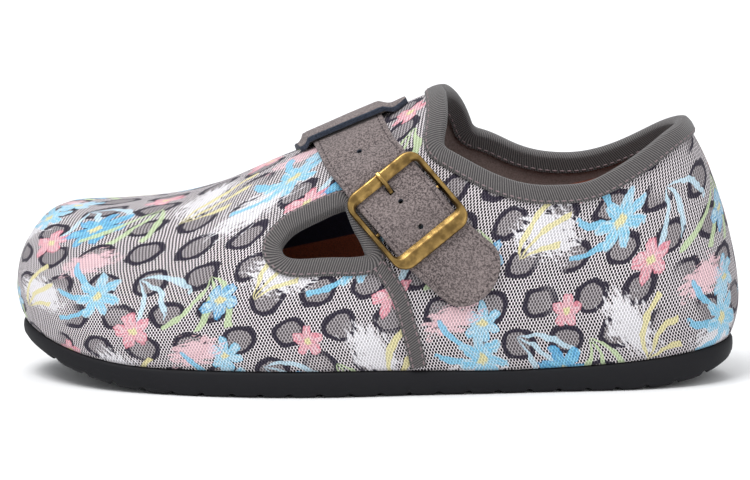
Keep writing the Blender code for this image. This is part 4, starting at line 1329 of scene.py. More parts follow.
@dataclass
class Buckle:
    """Brass frame with its middle bar, and the prong that swings on the bar."""

    seat: BuckleSeat
    brass: Material
    length: float = 0.0340
    width: float = 0.0325
    corner: float = 0.0055
    inner_corner: float = 0.0018
    upper_bar: float = 0.0044
    lower_bar: float = 0.0062
    side_bar: float = 0.0021
    seat_height: float = 0.0021
    thickness: float = 0.0030
    end_bar_seat: float = 0.0031
    hinge_height: float = 0.0024
    hinge_radius: float = 0.0007
    eye_radius: float = 0.0016
    eye_wall: float = 0.0006
    prong_width: float = 0.0016

    def outline(self, back: float, front: float, half: float, radius: float, count: int) -> Array:
        """Rounded rectangle in the buckle's plane, its sides cut into even steps.

        Args:
            back: reach towards the keeper.
            front: reach towards the strap's tip.
            half: half its width.
            radius: radius of its corners.
            count: points on each corner.

        Returns:
            Its points, along and across.
        """
        points = []
        corners = ((front, half, 0.0), (-back, half, 0.5), (-back, -half, 1.0), (front, -half, 1.5))
        for x, y, start in corners:
            centre = np.array([x - math.copysign(radius, x), y - math.copysign(radius, y)])
            angle = (start + np.linspace(0, 0.5, count)) * math.pi
            points.append(centre + radius * np.stack([np.cos(angle), np.sin(angle)], -1))
        ring = []
        for here, there in zip(points, points[1:] + points[:1]):
            share = np.linspace(0, 1, 12)[1:-1, None]
            ring += [here, here[-1] * (1 - share) + there[0] * share]
        return np.concatenate(ring)

    def build_frame(self) -> Piece:
        """Makes the frame: a rounded cross-section carried from the outer to the inner outline."""
        half = self.length / 2
        outer = self.outline(half, half, self.width / 2, self.corner, 14)
        inner = self.outline(
            half - self.upper_bar,
            half - self.lower_bar,
            self.width / 2 - self.side_bar,
            self.inner_corner,
            14,
        )
        end = np.clip((np.abs(outer[:, 0]) - 0.62 * half) / (0.2 * half), 0, 1)
        seat_height = self.seat_height + (self.end_bar_seat - self.seat_height) * soft_step(end)
        top = self.seat_height + self.thickness
        rings = []
        for share, rise in BEZEL:
            place = outer * (1 - share) + inner * share
            height = seat_height + (top - seat_height) * rise
            rings.append(self.seat.place(place[:, 0], place[:, 1], height))
        shape = Shape()
        grid = np.stack(rings, axis=1)
        shape.add_grid(grid, wrap_rows=True, wrap_columns=True, flip=True)
        turn = np.linspace(0, 2 * math.pi, 20, endpoint=False)
        ends = (self.width - self.side_bar) / 2
        along = self.hinge_radius * np.cos(turn)
        height = self.hinge_height + self.hinge_radius * np.sin(turn)
        spans = np.linspace(-ends, ends, 5)
        bar = np.stack([self.seat.place(along, across, height) for across in spans])
        shape.add_grid(bar, wrap_columns=True, caps=True)
        frame = shape.build("buckle_frame_brass", [self.brass], 45)
        return carry(frame, "buckle_brass", "buckle_frame")

    def build_prong(self) -> Piece:
        """Makes the prong: a rounded bar curled round the hinge, then out over the strap."""
        eye = self.eye_radius - self.eye_wall / 2
        angle = np.radians(np.linspace(150, -90, 16))
        along = np.append(eye * np.cos(angle), -column(PRONG, "along"))
        height = np.append(self.hinge_height + eye * np.sin(angle), column(PRONG, "height"))
        thick = np.append(np.full(len(angle), self.eye_wall), column(PRONG, "thick"))
        knots = run_length(np.stack([along, height], -1))
        fine = np.linspace(0, knots[-1], 90)
        along, height = natural_spline(knots, along, fine), natural_spline(knots, height, fine)
        thick = np.interp(fine, knots, thick)
        way = unit(np.stack([np.gradient(along), np.gradient(height)], -1))
        turn = np.linspace(0, 2 * math.pi, 20, endpoint=False)
        across = np.sign(np.cos(turn)) * np.abs(np.cos(turn)) ** 0.5 * self.prong_width / 2
        rise = np.sign(np.sin(turn)) * np.abs(np.sin(turn)) ** 0.6 / 2
        off = thick[:, None] * rise
        grid = self.seat.place(
            along[:, None] - way[:, 1:] * off, across[None], height[:, None] + way[:, :1] * off
        )
        shape = Shape()
        shape.add_grid(grid, wrap_columns=True, caps=True)
        prong = shape.build("buckle_prong_brass", [self.brass], 50)
        return carry(prong, "buckle_brass", "buckle_prong")


@dataclass
class Sole:
    """The rubber outsole and the suede footbed on it."""

    rubber: Material
    suede: Material
    margin: float = 0.0008
    corner: float = 0.0024
    groove_depth: float = 0.0010
    groove_width: float = 0.0022
    groove_pitch: float = 0.0105
    footbed_thickness: float = 0.0050
    footbed_inset: float = 0.0042
    heel_cup: float = 0.0080
    arch_rise: float = 0.0120
    stations: int = 330

    def outline(self, s: Array, distance: float) -> Array:
        """Feather edge round both sides, moved outward in plan."""
        ring = np.concatenate(
            [LAST.feather_edge(s, LATERAL), LAST.feather_edge(s, MEDIAL)[-2:0:-1]]
        )
        run = unit(np.roll(ring[:, :2], -1, axis=0) - np.roll(ring[:, :2], 1, axis=0))
        moved = ring.copy()
        moved[:, :2] += np.stack([run[:, 1], -run[:, 0]], -1) * distance
        return moved

    def groove(self, along: Array) -> Array:
        """How deep the tread is cut, 0 to 1, at a share of the length."""
        pitch = self.groove_pitch / LAST.sole_length
        phase = np.abs((along - 0.045 + pitch / 2) % pitch - pitch / 2) * LAST.sole_length
        depth = 1 - soft_step((phase - self.groove_width / 2 + 0.0003) / 0.0006)
        return depth * (along > 0.03) * (along < 0.97)

    def build_outsole(self) -> Piece:
        """Makes the outsole: outlines from top to tread, closed across at both."""
        s = np.linspace(0, 1, self.stations)
        around = np.concatenate([s, s[-2:0:-1]])
        along = LAST.along_of(around)
        top, bottom = LAST.sole_top(along), LAST.sole_bottom(along)
        cut = self.groove(along) * self.groove_depth
        m, c = self.margin, self.corner
        levels = (
            (m - 0.0034, top),
            (m - 0.0006, top),
            (m - 0.0001, top - 0.0003),
            (m + 0.0002, top - 0.0010),
            (m + 0.0003, top * 0.6 + bottom * 0.4),
            (m + 0.0001, top * 0.35 + bottom * 0.65),
            (m - 0.0002, bottom + c),
            (m - 0.12 * c, bottom + 0.70 * c + 0.2 * cut),
            (m - 0.32 * c, bottom + 0.34 * c + 0.6 * cut),
            (m - 0.62 * c, bottom + 0.10 * c + 0.9 * cut),
            (m - c, bottom + cut),
        )
        rings = []
        for distance, heights in levels:
            ring = self.outline(s, distance)
            ring[:, 2] = heights
            rings.append(ring)
        grid = np.stack(rings)
        shape = Shape()
        edge = run_length(np.concatenate([grid[3], grid[3][:1]]))
        high = run_length(grid[:, self.stations // 2])
        uv = np.stack(np.broadcast_arrays(edge[None], high[:, None]), -1)
        shape.add_grid(grid, uv, wrap_columns=True)
        for ring, flip in ((grid[0], True), (grid[-1], False)):
            left = ring[: self.stations]
            right = np.concatenate([left[:1], ring[: self.stations - 1 : -1], left[-1:]])
            across = np.linspace(0, 1, 9)[:, None, None]
            deck = left * (1 - across) + right * across
            shape.add_grid(deck, deck[..., :2], flip=flip)
        outsole = shape.build("outsole_rubber", [self.rubber], 40)
        return carry(outsole, "sole_rubber", "outsole")

    def build_footbed(self) -> Piece:
        """Makes the footbed: a padded plate with a heel cup and an arch rise."""
        along = np.linspace(0.012, 0.988, 180)
        s = LAST.station_of(along)
        turn = np.linspace(-math.pi / 2, math.pi / 2, 60)
        across = np.sin(turn)
        lateral, medial = LAST.feather_edge(s, LATERAL), LAST.feather_edge(s, MEDIAL)
        middle = (lateral + medial) / 2
        half = (medial - lateral)[:, 1] / 2 - self.footbed_inset
        y = middle[:, 1][:, None] + half[:, None] * across
        low_x = LAST.nose_x + self.footbed_inset
        high_x = LAST.nose_x + LAST.sole_length - self.footbed_inset
        x = np.clip(np.broadcast_to(middle[:, 0][:, None], y.shape), low_x, high_x)
        low = np.broadcast_to((LAST.sole_top(along) + LAST.gap)[:, None], y.shape)
        cup = self.heel_cup * ease((along - 0.62) / 0.2, 1.5)[:, None] * np.abs(across) ** 4
        arch = np.exp(-(((along - 0.56) / 0.13) ** 2))[:, None] * ease((across + 0.1) / 1.1, 3)
        end = 0.35 + 0.65 * ease((along - 0.012) / 0.06, 0.5)[:, None]
        high = low + self.footbed_thickness * end + cup + self.arch_rise * arch
        shape = Shape()
        top, base = np.stack([x, y, high], -1), np.stack([x, y, low], -1)
        shape.add_grid(top, top[..., :2], flip=True)
        shape.add_grid(base, base[..., :2])
        rim = [np.s_[0, :], np.s_[:, -1], np.s_[-1, ::-1], np.s_[::-1, 0]]
        edge_top = np.concatenate([top[part][:-1] for part in rim])
        edge_base = np.concatenate([base[part][:-1] for part in rim])
        shape.add_grid(np.stack([edge_base, edge_top]), wrap_columns=True, flip=True)
        bed = shape.build("footbed_suede", [self.suede], 50)
        return carry(bed, "footbed_suede", "footbed")


def colour(red: int, green: int, blue: int) -> tuple[float, float, float, float]:
    """Linear colour of a screen colour with parts from 0 to 255."""
    parts = [value / 255 for value in (red, green, blue)]
    return (*[p / 12.92 if p <= 0.04045 else ((p + 0.055) / 1.055) ** 2.4 for p in parts], 1.0)


class NodeSheet:
    """Short calls for the nodes of one material or node group."""

    def __init__(self, tree: Tree) -> None:
        """Starts on a tree."""
        self.tree = tree

    def add(self, kind: str, **settings: object) -> bpy.types.Node:
        """Adds a node and sets its properties."""
        node = self.tree.nodes.new(f"ShaderNode{kind}")
        for name, value in settings.items():
            setattr(node, name, value)
        return node

    def put(self, target: Socket, value: object) -> None:
        """Links a socket, or sets a constant on it."""
        if isinstance(value, Socket):
            self.tree.links.new(value, target)
        else:
            target.default_value = value

    def fill(self, sockets: object, values: dict[str, object]) -> None:
        """Puts values on sockets by name."""
        for name, value in values.items():
            self.put(sockets[name], value)

    def call(self, kind: str, *values: object, **settings: object) -> Socket:
        """Adds a node, fills its inputs in order, and gives its first output."""
        node = self.add(kind, **settings)
        for socket, value in zip(node.inputs, values):
            self.put(socket, value)
        return node.outputs[0]

    def maths(self, operation: str, *values: object) -> Socket:
        """Scalar Math node."""
        return self.call("Math", *values, operation=operation)

    def vector(self, operation: str, *values: object) -> Socket:
        """Vector Math node with a vector result."""
        return self.call("VectorMath", *values, operation=operation)

    def times(self, a: object, b: object) -> Socket:
        """Product a b."""
        return self.maths("MULTIPLY", a, b)

    def times_plus(self, a: object, b: object, c: object) -> Socket:
        """Product and sum a b + c."""
        return self.maths("MULTIPLY_ADD", a, b, c)

    def wave(self, angle: object) -> Socket:
        """Sine wave between 0 and 1."""
        return self.times_plus(self.maths("SINE", angle), 0.5, 0.5)

    def length(self, a: object, b: object) -> Socket:
        """Length of a flat vector: square root of a a + b b."""
        return self.maths("SQRT", self.times_plus(a, a, self.times(b, b)))

    def off_centre(self, value: object) -> Socket:
        """Distance from the middle of each unit step."""
        return self.maths("ABSOLUTE", self.maths("SUBTRACT", self.maths("FRACT", value), 0.5))

    def split(self, vector: Socket) -> tuple:
        """X, Y and Z of a vector."""
        node = self.add("SeparateXYZ")
        self.put(node.inputs[0], vector)
        return tuple(node.outputs)

    def step(self, value: object, low: object, high: object) -> Socket:
        """Smooth step from 0 at low to 1 at high."""
        return self.call("MapRange", value, low, high, 0.0, 1.0, interpolation_type="SMOOTHSTEP")

    def mix(self, factor: object, a: object, b: object) -> Socket:
        """Colour mix."""
        node = self.add("Mix", data_type="RGBA")
        for index, value in ((0, factor), (6, a), (7, b)):
            self.put(node.inputs[index], value)
        return node.outputs[2]

    def noise(
        self,
        vector: object,
        scale: float,
        detail: float = 2.0,
        roughness: float = 0.5,
        output: int = 0,
    ) -> Socket:
        """Noise value, or with output 1 its colour."""
        node = self.add("TexNoise")
        values = {"Vector": vector, "Scale": scale, "Detail": detail, "Roughness": roughness}
        self.fill(node.inputs, values)
        return node.outputs[output]

    def group(self, tree: Tree, **values: object) -> object:
        """Places a node group, with its inputs by name, and gives its outputs."""
        node = self.add("Group")
        node.node_tree = tree
        self.fill(node.inputs, values)
        return node.outputs

    def bump(self, height: object, distance: float) -> Socket:
        """Normal from a height."""
        node = self.add("Bump")
        self.fill(node.inputs, {"Strength": 1.0, "Distance": distance, "Height": height})
        return node.outputs[0]

    def uv(self) -> Socket:
        """The mesh's own texture places."""
        return self.add("UVMap", uv_map="UVMap").outputs[0]


def start_group(name: str, inputs: dict[str, float], outputs: Sequence[str]) -> tuple:
    """Starts a node group with a Vector input.

    Args:
        name: name of the group.
        inputs: further value inputs and their defaults.
        outputs: names of the value outputs.

    Returns:
        The group's sheet, the sockets that bring its inputs, and those that take its results.
    """
    tree = bpy.data.node_groups.new(name, "ShaderNodeTree")
    tree.interface.new_socket("Vector", in_out="INPUT", socket_type="NodeSocketVector")
    for key, value in inputs.items():
        socket = tree.interface.new_socket(key, in_out="INPUT", socket_type="NodeSocketFloat")
        socket.default_value = value
    for key in outputs:
        tree.interface.new_socket(key, in_out="OUTPUT", socket_type="NodeSocketFloat")
    enter, leave = tree.nodes.new("NodeGroupInput"), tree.nodes.new("NodeGroupOutput")
    return NodeSheet(tree), enter.outputs, leave.inputs


class GroupKit:
    """Node groups that several finishes share, each made when it is first asked for."""

    @cached_property
    def nap(self) -> Tree:
        """Short fibres: fine speckle, soft patches and a height, at a scale per metre."""
        sheet, source, result = start_group("nap", {"Scale": 1.0}, ("Speckle", "Patch", "Height"))
        scaled = sheet.add("VectorMath", operation="SCALE")
        sheet.put(scaled.inputs[0], source["Vector"])
        sheet.put(scaled.inputs["Scale"], source["Scale"])
        place = scaled.outputs[0]
        fine = sheet.noise(place, 2300.0, 3.0, 0.7)
        patch = sheet.step(sheet.noise(place, 95.0), 0.3, 0.7)
        values = {"Speckle": sheet.step(fine, 0.36, 0.66), "Patch": patch, "Height": fine}
        sheet.fill(result, values)
        return sheet.tree

    @cached_property
    def ribs(self) -> Tree:
        """Ribs across a tape, from its UV in metres: 1 on each rib, 0 between."""
        inputs = {"Pitch": 0.00085, "Slant": 0.35}
        sheet, source, result = start_group("ribs", inputs, ("Rib", "Thread"))
        u, v, _ = sheet.split(source["Vector"])
        lean = sheet.times_plus(v, source["Slant"], u)
        turns = sheet.times(sheet.maths("DIVIDE", lean, source["Pitch"]), math.tau)
        fine = sheet.times(v, 9000.0)
        sheet.fill(result, {"Rib": sheet.wave(turns), "Thread": sheet.wave(fine)})
        return sheet.tree

    @cached_property
    def chambray(self) -> Tree:
        """Plain weave from UV in metres: pale warp over dark weft, in a slanting step."""
        sheet, source, result = start_group("chambray", {"Pitch": 0.00114}, ("Pale", "Height"))
        u, v, _ = sheet.split(source["Vector"])
        wobble = sheet.noise(source["Vector"], 260.0)
        wide = sheet.times_plus(wobble, 0.5, sheet.maths("DIVIDE", u, source["Pitch"]))
        tall = sheet.maths("DIVIDE", v, sheet.times(source["Pitch"], 0.84))
        lean = sheet.times_plus(sheet.maths("FLOOR", tall), 0.5, wide)
        off_v = sheet.times(sheet.off_centre(tall), 0.72)
        knot = sheet.maths("MAXIMUM", sheet.off_centre(lean), off_v)
        sheet.fill(result, {"Pale": sheet.step(knot, 0.28, 0.37), "Height": knot})
        return sheet.tree

    @cached_property
    def blossom(self) -> Tree:
        """Flower in polar form: its edge is at R (0.46 + 0.52 |cos(n a / 2)|), n petals."""
        inputs = {"Radius": 0.008, "Petals": 5.0}
        sheet, source, result = start_group("blossom", inputs, ("Petal", "Vein", "Heart"))
        u, v, _ = sheet.split(source["Vector"])
        wobble = sheet.noise(source["Vector"], 520.0, 3.0)
        reach = sheet.maths("DIVIDE", sheet.length(u, v), source["Radius"])
        reach = sheet.maths("ADD", reach, sheet.times_plus(wobble, 0.5, -0.25))
        angle = sheet.maths("ARCTAN2", v, u)
        half = sheet.times(sheet.times(angle, source["Petals"]), 0.5)
        lobe = sheet.maths("ABSOLUTE", sheet.maths("COSINE", half))
        inside = sheet.maths("SUBTRACT", sheet.times_plus(lobe, 0.52, 0.46), reach)
        grain = sheet.call("CombineXYZ", sheet.times(angle, 4.0), sheet.times(reach, 1.5))
        vein = sheet.step(sheet.noise(grain, 1.6, 3.0, 0.7), 0.46, 0.58)
        values = {
            "Petal": sheet.step(inside, -0.03, 0.06),
            "Vein": sheet.maths("MAXIMUM", vein, sheet.step(inside, 0.14, 0.02)),
            "Heart": sheet.step(reach, 0.26, 0.14),
        }
        sheet.fill(result, values)
        return sheet.tree

    @cached_property
    def spray(self) -> Tree:
        """Fan of curved blades from a root: stripes of the polar angle, bent by the radius."""
        inputs = {"Radius": 0.02, "Blades": 11.0, "Spread": 1.05, "Bend": 26.0}
        sheet, source, result = start_group("spray", inputs, ("Blade",))
        u, v, _ = sheet.split(source["Vector"])
        reach = sheet.length(u, v)
        bent = sheet.times_plus(reach, source["Bend"], sheet.maths("ARCTAN2", v, u))
        stripe = sheet.maths("COSINE", sheet.times(bent, source["Blades"]))
        wobble = sheet.noise(source["Vector"], 300.0, 1.0)
        share = sheet.maths("DIVIDE", reach, source["Radius"])
        share = sheet.maths("ADD", share, sheet.times_plus(wobble, 0.6, -0.3))
        thin = sheet.times_plus(share, 0.75, 0.10)
        blade = sheet.step(sheet.maths("SUBTRACT", stripe, thin), 0.0, 0.12)
        inner = sheet.times(source["Spread"], 0.9)
        fan = sheet.step(sheet.maths("ABSOLUTE", bent), source["Spread"], inner)
        mask = sheet.times(sheet.times(blade, fan), sheet.step(share, 1.0, 0.93))
        sheet.put(result["Blade"], mask)
        return sheet.tree

    @cached_property
    def dab(self) -> Tree:
        """Brushed dab: an ellipse whose edge breaks up into short strokes."""
        inputs = {"Radius": 0.009, "Flat": 1.8}
        sheet, source, result = start_group("dab", inputs, ("Dab",))
        u, v, _ = sheet.split(source["Vector"])
        reach = sheet.length(u, sheet.times(v, source["Flat"]))
        share = sheet.maths("DIVIDE", reach, source["Radius"])
        stroke = sheet.vector("MULTIPLY", source["Vector"], (260.0, 900.0, 0.0))
        broken = sheet.noise(stroke, 1.0, 3.0, 0.6)
        total = sheet.times_plus(broken, 2.4, sheet.times(share, -1.0))
        sheet.put(result["Dab"], sheet.step(total, 0.42, 0.62))
        return sheet.tree


KIT = GroupKit()


class Motif(Enum):
    """Kinds of printed motif."""

    BLOSSOM = "blossom"
    SPRAY = "spray"
    DAB = "dab"


class PrintRow(NamedTuple):
    """One motif in the print's repeat, in metres and degrees."""

    kind: Motif
    u: float
    v: float
    size: float
    turn: float
    tint: tuple
    second: tuple
    cover: float
    count: float = 5.0  # petals


SKY = colour(138, 208, 240)
PALE_SKY = colour(205, 232, 246)
DEEP_SKY = colour(92, 172, 222)
MILK = colour(240, 237, 241)
LEMON = colour(238, 228, 172)
LEAF = colour(204, 222, 178)
BLUSH = colour(246, 208, 214)
ROSE = colour(236, 142, 158)

REPEAT = (0.0920, 0.0760)
PRINT = rows(
    PrintRow,
    (Motif.DAB, 0.040, 0.016, 0.0165, 20.0, MILK, MILK, 0.97),
    (Motif.DAB, 0.014, 0.046, 0.0180, -35.0, MILK, MILK, 0.97),
    (Motif.DAB, 0.074, 0.060, 0.0160, 60.0, MILK, MILK, 0.95),
    (Motif.DAB, 0.057, 0.030, 0.0120, -15.0, BLUSH, MILK, 0.88),
    (Motif.SPRAY, 0.014, 0.020, 0.0240, 62.0, LEAF, LEAF, 0.90),
    (Motif.SPRAY, 0.070, 0.018, 0.0220, 150.0, SKY, SKY, 0.88),
    (Motif.SPRAY, 0.078, 0.046, 0.0230, -70.0, LEMON, LEMON, 0.90),
    (Motif.SPRAY, 0.034, 0.060, 0.0210, 20.0, PALE_SKY, SKY, 0.88),
    (Motif.BLOSSOM, 0.066, 0.016, 0.0092, 10.0, SKY, PALE_SKY, 0.92, 7.0),
    (Motif.BLOSSOM, 0.035, 0.040, 0.0074, 40.0, BLUSH, ROSE, 0.90),
    (Motif.BLOSSOM, 0.048, 0.047, 0.0100, 0.0, SKY, DEEP_SKY, 0.92, 7.0),
    (Motif.BLOSSOM, 0.022, 0.066, 0.0070, 25.0, PALE_SKY, SKY, 0.90, 6.0),
    (Motif.BLOSSOM, 0.020, 0.010, 0.0068, 15.0, PALE_SKY, DEEP_SKY, 0.90),
    (Motif.BLOSSOM, 0.052, 0.067, 0.0056, 55.0, BLUSH, ROSE, 0.88),
)
# The print is laid twice, half a repeat apart: the whole table, then only some of its rows
PRINT_START = (0.013, 0.002)
SECOND_ROWS = slice(3, 10)


def new_material(name: str) -> Material:
    """Node material with a Principled shader."""
    material = bpy.data.materials.new(name)
    material.use_nodes = True
    return material


def set_shader(material: Material, values: dict[str, object]) -> Material:
    """Puts values on a material's Principled shader, and gives the material."""
    tree = material.node_tree
    NodeSheet(tree).fill(tree.nodes["Principled BSDF"].inputs, values)
    return material


@dataclass(frozen=True)
class Finish:
    """A finish: its material's name, and the start that all finishes share."""

    name: str

    def start(self) -> tuple[Material, NodeSheet, Socket]:
        """New material, its sheet, and places in the piece's own coordinates."""
        material = new_material(self.name)
        sheet = NodeSheet(material.node_tree)
        return material, sheet, sheet.add("TexCoord").outputs["Object"]


@dataclass(frozen=True)
class PrintedCloth(Finish):
    """Grey chambray with a printed trellis, blossoms, grass sprays and white dabs."""

    name: str = "upper_cloth"
    dark: tuple = colour(19, 16, 21)
    pale: tuple = colour(238, 230, 233)
    ink: tuple = colour(34, 28, 48)
    disc: tuple = colour(122, 115, 118)
    link_pitch: tuple[float, float] = (0.0178, 0.0128)
    link_half: tuple[float, float] = (0.0054, 0.0044)
    link_power: float = 2.1
    warp_scale: float = 150.0
    warp_reach: float = 0.0036
    ink_cover: float = 0.93
    disc_cover: float = 0.62
    weft_show: float = 0.42
    soil: float = 0.10

    def trellis(self, sheet: NodeSheet, place: object) -> tuple[object, object]:
        """Outline and fill of rounded lozenges in a brick layout: (|x|/a)^p + (|y|/b)^p."""
        du, dv = self.link_pitch
        u, v, _ = sheet.split(place)
        row = sheet.maths("DIVIDE", v, dv)
        odd = sheet.times(sheet.maths("FLOORED_MODULO", sheet.maths("FLOOR", row), 2.0), 0.5)
        column = sheet.maths("ADD", sheet.maths("DIVIDE", u, du), odd)
        parts = []
        for value, pitch, half in zip((column, row), self.link_pitch, self.link_half):
            size = sheet.times(sheet.off_centre(value), pitch / half)
            parts.append(sheet.maths("POWER", size, self.link_power))
        reach = sheet.maths("ADD", *parts)
        off = sheet.maths("ABSOLUTE", sheet.maths("SUBTRACT", reach, 1.0))
        return sheet.step(off, 0.44, 0.30), sheet.step(reach, 1.05, 0.9)

    def motif(self, sheet: NodeSheet, row: PrintRow, place: object, base: object) -> object:
        """Paints one motif over a colour.

        Args:
            sheet: sheet of the material.
            row: the motif.
            place: places in the repeat.
            base: colour under it.

        Returns:
            The painted colour.
        """
        turned = sheet.add("VectorRotate", rotation_type="Z_AXIS")
        local = sheet.vector("SUBTRACT", place, (row.u, row.v, 0.0))
        sheet.fill(turned.inputs, {"Vector": local, "Angle": math.radians(row.turn)})
        spot, tint = turned.outputs[0], row.tint
        if row.kind is Motif.BLOSSOM:
            flower = sheet.group(KIT.blossom, Vector=spot, Radius=row.size, Petals=row.count)
            tint = sheet.mix(flower["Vein"], row.tint, row.second)
            tint = sheet.mix(flower["Heart"], tint, LEMON)
            mask = flower["Petal"]
        elif row.kind is Motif.SPRAY:
            mask = sheet.group(KIT.spray, Vector=spot, Radius=row.size)["Blade"]
        else:
            mask = sheet.group(KIT.dab, Vector=spot, Radius=row.size)["Dab"]
        return sheet.mix(sheet.times(mask, row.cover), base, tint)

    def make(self) -> Material:
        """Builds the material: weave, trellis in soft areas, then the motifs in two layers."""
        material, sheet, place = self.start()
        uv = sheet.uv()
        shift = sheet.noise(uv, self.warp_scale, output=1)
        shift = sheet.vector("SUBTRACT", shift, (0.5, 0.5, 0.5))
        reach = (self.warp_reach, self.warp_reach, 0.0)
        shifted = sheet.vector("MULTIPLY_ADD", shift, reach, uv)
        weave = sheet.group(KIT.chambray, Vector=uv)
        cloth = sheet.mix(weave["Pale"], self.dark, self.pale)
        outline, fill = self.trellis(sheet, shifted)
        under = sheet.mix(sheet.times(fill, self.disc_cover), cloth, self.disc)
        inked = sheet.mix(sheet.times(outline, self.ink_cover), under, self.ink)
        area = sheet.step(sheet.noise(uv, 24.0, 1.0), 0.40, 0.46)
        base = sheet.mix(area, cloth, inked)
        for halves, layer in ((0.0, PRINT), (0.5, PRINT[SECOND_ROWS])):
            start = [first + halves * size for first, size in zip(PRINT_START, REPEAT)]
            moved = sheet.vector("ADD", shifted, (*start, 0.0))
            spot = sheet.vector("WRAP", moved, (*REPEAT, 1.0), (0.0, 0.0, 0.0))
            for row in layer:
                base = self.motif(sheet, row, spot, base)
        weft = sheet.times(sheet.maths("SUBTRACT", 1.0, weave["Pale"]), self.weft_show)
        printed = sheet.mix(weft, base, self.dark)
        soil = sheet.times(sheet.step(sheet.noise(place, 26.0, 3.0), 0.35, 0.75), self.soil)
        height = sheet.times_plus(sheet.noise(uv, 2600.0), 0.5, weave["Height"])
        values = {
            "Base Color": sheet.mix(soil, printed, self.dark),
            "Normal": sheet.bump(height, 0.00009),
            "Roughness": 0.88,
            "Sheen Weight": 0.06,
            "Sheen Roughness": 0.5,
            "Specular IOR Level": 0.15,
        }
        return set_shader(material, values)


@dataclass(frozen=True)
class Suede(Finish):
    """Napped leather: speckled fibres over soft patches."""

    light: tuple
    dark: tuple
    scale: float = 1.0

    def make(self) -> Material:
        """Builds the material."""
        material, sheet, place = self.start()
        nap = sheet.group(KIT.nap, Vector=place, Scale=self.scale)
        tint = sheet.mix(nap["Speckle"], self.dark, self.light)
        values = {
            "Base Color": sheet.mix(sheet.times(nap["Patch"], 0.22), tint, self.light),
            "Normal": sheet.bump(nap["Height"], 0.00018),
            "Roughness": sheet.times_plus(nap["Speckle"], 0.1, 0.84),
            "Sheen Weight": 0.12,
            "Sheen Roughness": 0.45,
            "Specular IOR Level": 0.2,
        }
        return set_shader(material, values)


@dataclass(frozen=True)
class RibbedTape(Finish):
    """Grosgrain: ribs across the tape, with painted shade darker between them."""

    name: str = "binding_tape"
    light: tuple = colour(114, 110, 109)
    # dark: painted shade in the rib grooves, and the colour of the nap's dark speckle
    dark: tuple = colour(42, 40, 42)

    def make(self) -> Material:
        """Builds the material."""
        material, sheet, place = self.start()
        ribs = sheet.group(KIT.ribs, Vector=sheet.uv())
        nap = sheet.group(KIT.nap, Vector=place, Scale=0.9)
        # the dark between the ribs is painted shade in their grooves
        tint = sheet.mix(ribs["Rib"], self.dark, self.light)
        height = sheet.times_plus(ribs["Thread"], 0.2, ribs["Rib"])
        values = {
            "Base Color": sheet.mix(sheet.times(nap["Speckle"], 0.25), tint, self.dark),
            "Normal": sheet.bump(height, 0.00014),
            "Roughness": 0.82,
            "Sheen Weight": 0.2,
            "Specular IOR Level": 0.3,
        }
        return set_shader(material, values)


@dataclass(frozen=True)
class Lining(Finish):
    """Brushed lining: brown grey at the heel, near navy with painted shade in the vamp, tan with
    painted light low down.
    """

    name: str = "lining_cloth"
    rear: tuple = colour(152, 136, 131)
    # front: the lining's colour deepened with painted shade for the dark inside of the vamp
    front: tuple = colour(58, 60, 80)
    # low: tan lining colour brightened with painted light on the lower inner wall
    low: tuple = colour(196, 112, 82)
    shade: tuple = colour(30, 27, 30)

    def make(self) -> Material:
        """Builds the material."""
        material, sheet, place = self.start()
        x, _, z = sheet.split(place)
        nap = sheet.group(KIT.nap, Vector=place, Scale=0.8)
        # the vamp's navy is the lining's colour with painted shade in it
        tint = sheet.mix(sheet.step(x, 0.018, 0.024), self.front, self.rear)
        # tan below a slanting height: lining colour with painted light on the lower inner wall
        low = sheet.step(sheet.times_plus(x, -0.25, z), 0.0478, 0.0472)
        tint = sheet.mix(low, tint, self.low)
        values = {
            "Base Color": sheet.mix(sheet.times(nap["Speckle"], 0.35), tint, self.shade),
            "Normal": sheet.bump(nap["Height"], 0.0001),
            "Roughness": 0.92,
            "Specular IOR Level": 0.2,
        }
        return set_shader(material, values)


@dataclass(frozen=True)
class MouldedRubber(Finish):
    """Near-black matte rubber with a fine grain and a trace of dust."""

    name: str = "sole_rubber"
    base: tuple = colour(17, 17, 21)
    dust: tuple = colour(44, 43, 46)

    def make(self) -> Material:
        """Builds the material."""
        material, sheet, place = self.start()
        nap = sheet.group(KIT.nap, Vector=place, Scale=0.6)
        values = {
            "Base Color": sheet.mix(sheet.times(nap["Patch"], 0.14), self.base, self.dust),
            "Normal": sheet.bump(nap["Height"], 0.00006),
            "Roughness": sheet.times_plus(nap["Patch"], 0.12, 0.6),
            "Specular IOR Level": 0.22,
        }
        return set_shader(material, values)


@dataclass(frozen=True)
class AgedBrass(Finish):
    """Antiqued brass: brushed, browner in random patches."""

    name: str = "buckle_brass"
    bright: tuple = colour(164, 134, 80)
    brown: tuple = colour(66, 50, 30)

    def make(self) -> Material:
        """Builds the material."""
        material, sheet, place = self.start()
        nap = sheet.group(KIT.nap, Vector=place, Scale=1.0)
        cloudy = sheet.step(sheet.noise(place, 240.0, 3.0), 0.35, 0.68)
        values = {
            "Base Color": sheet.mix(sheet.times(cloudy, 0.75), self.bright, self.brown),
            "Normal": sheet.bump(nap["Height"], 0.00003),
            "Roughness": sheet.times_plus(cloudy, 0.16, 0.27),
            "Metallic": 1.0,
        }
        return set_shader(material, values)


@dataclass(frozen=True)
class Thread(Finish):
    """Twisted sewing thread."""

    tint: tuple
    shade: tuple = colour(60, 50, 52)

    def make(self) -> Material:
        """Builds the material."""
        material, sheet, place = self.start()
        nap = sheet.group(KIT.nap, Vector=place, Scale=1.2)
        values = {
            "Base Color": sheet.mix(sheet.times(nap["Speckle"], 0.3), self.tint, self.shade),
            "Normal": sheet.bump(nap["Height"], 0.00005),
            "Roughness": 0.75,
        }
        return set_shader(material, values)


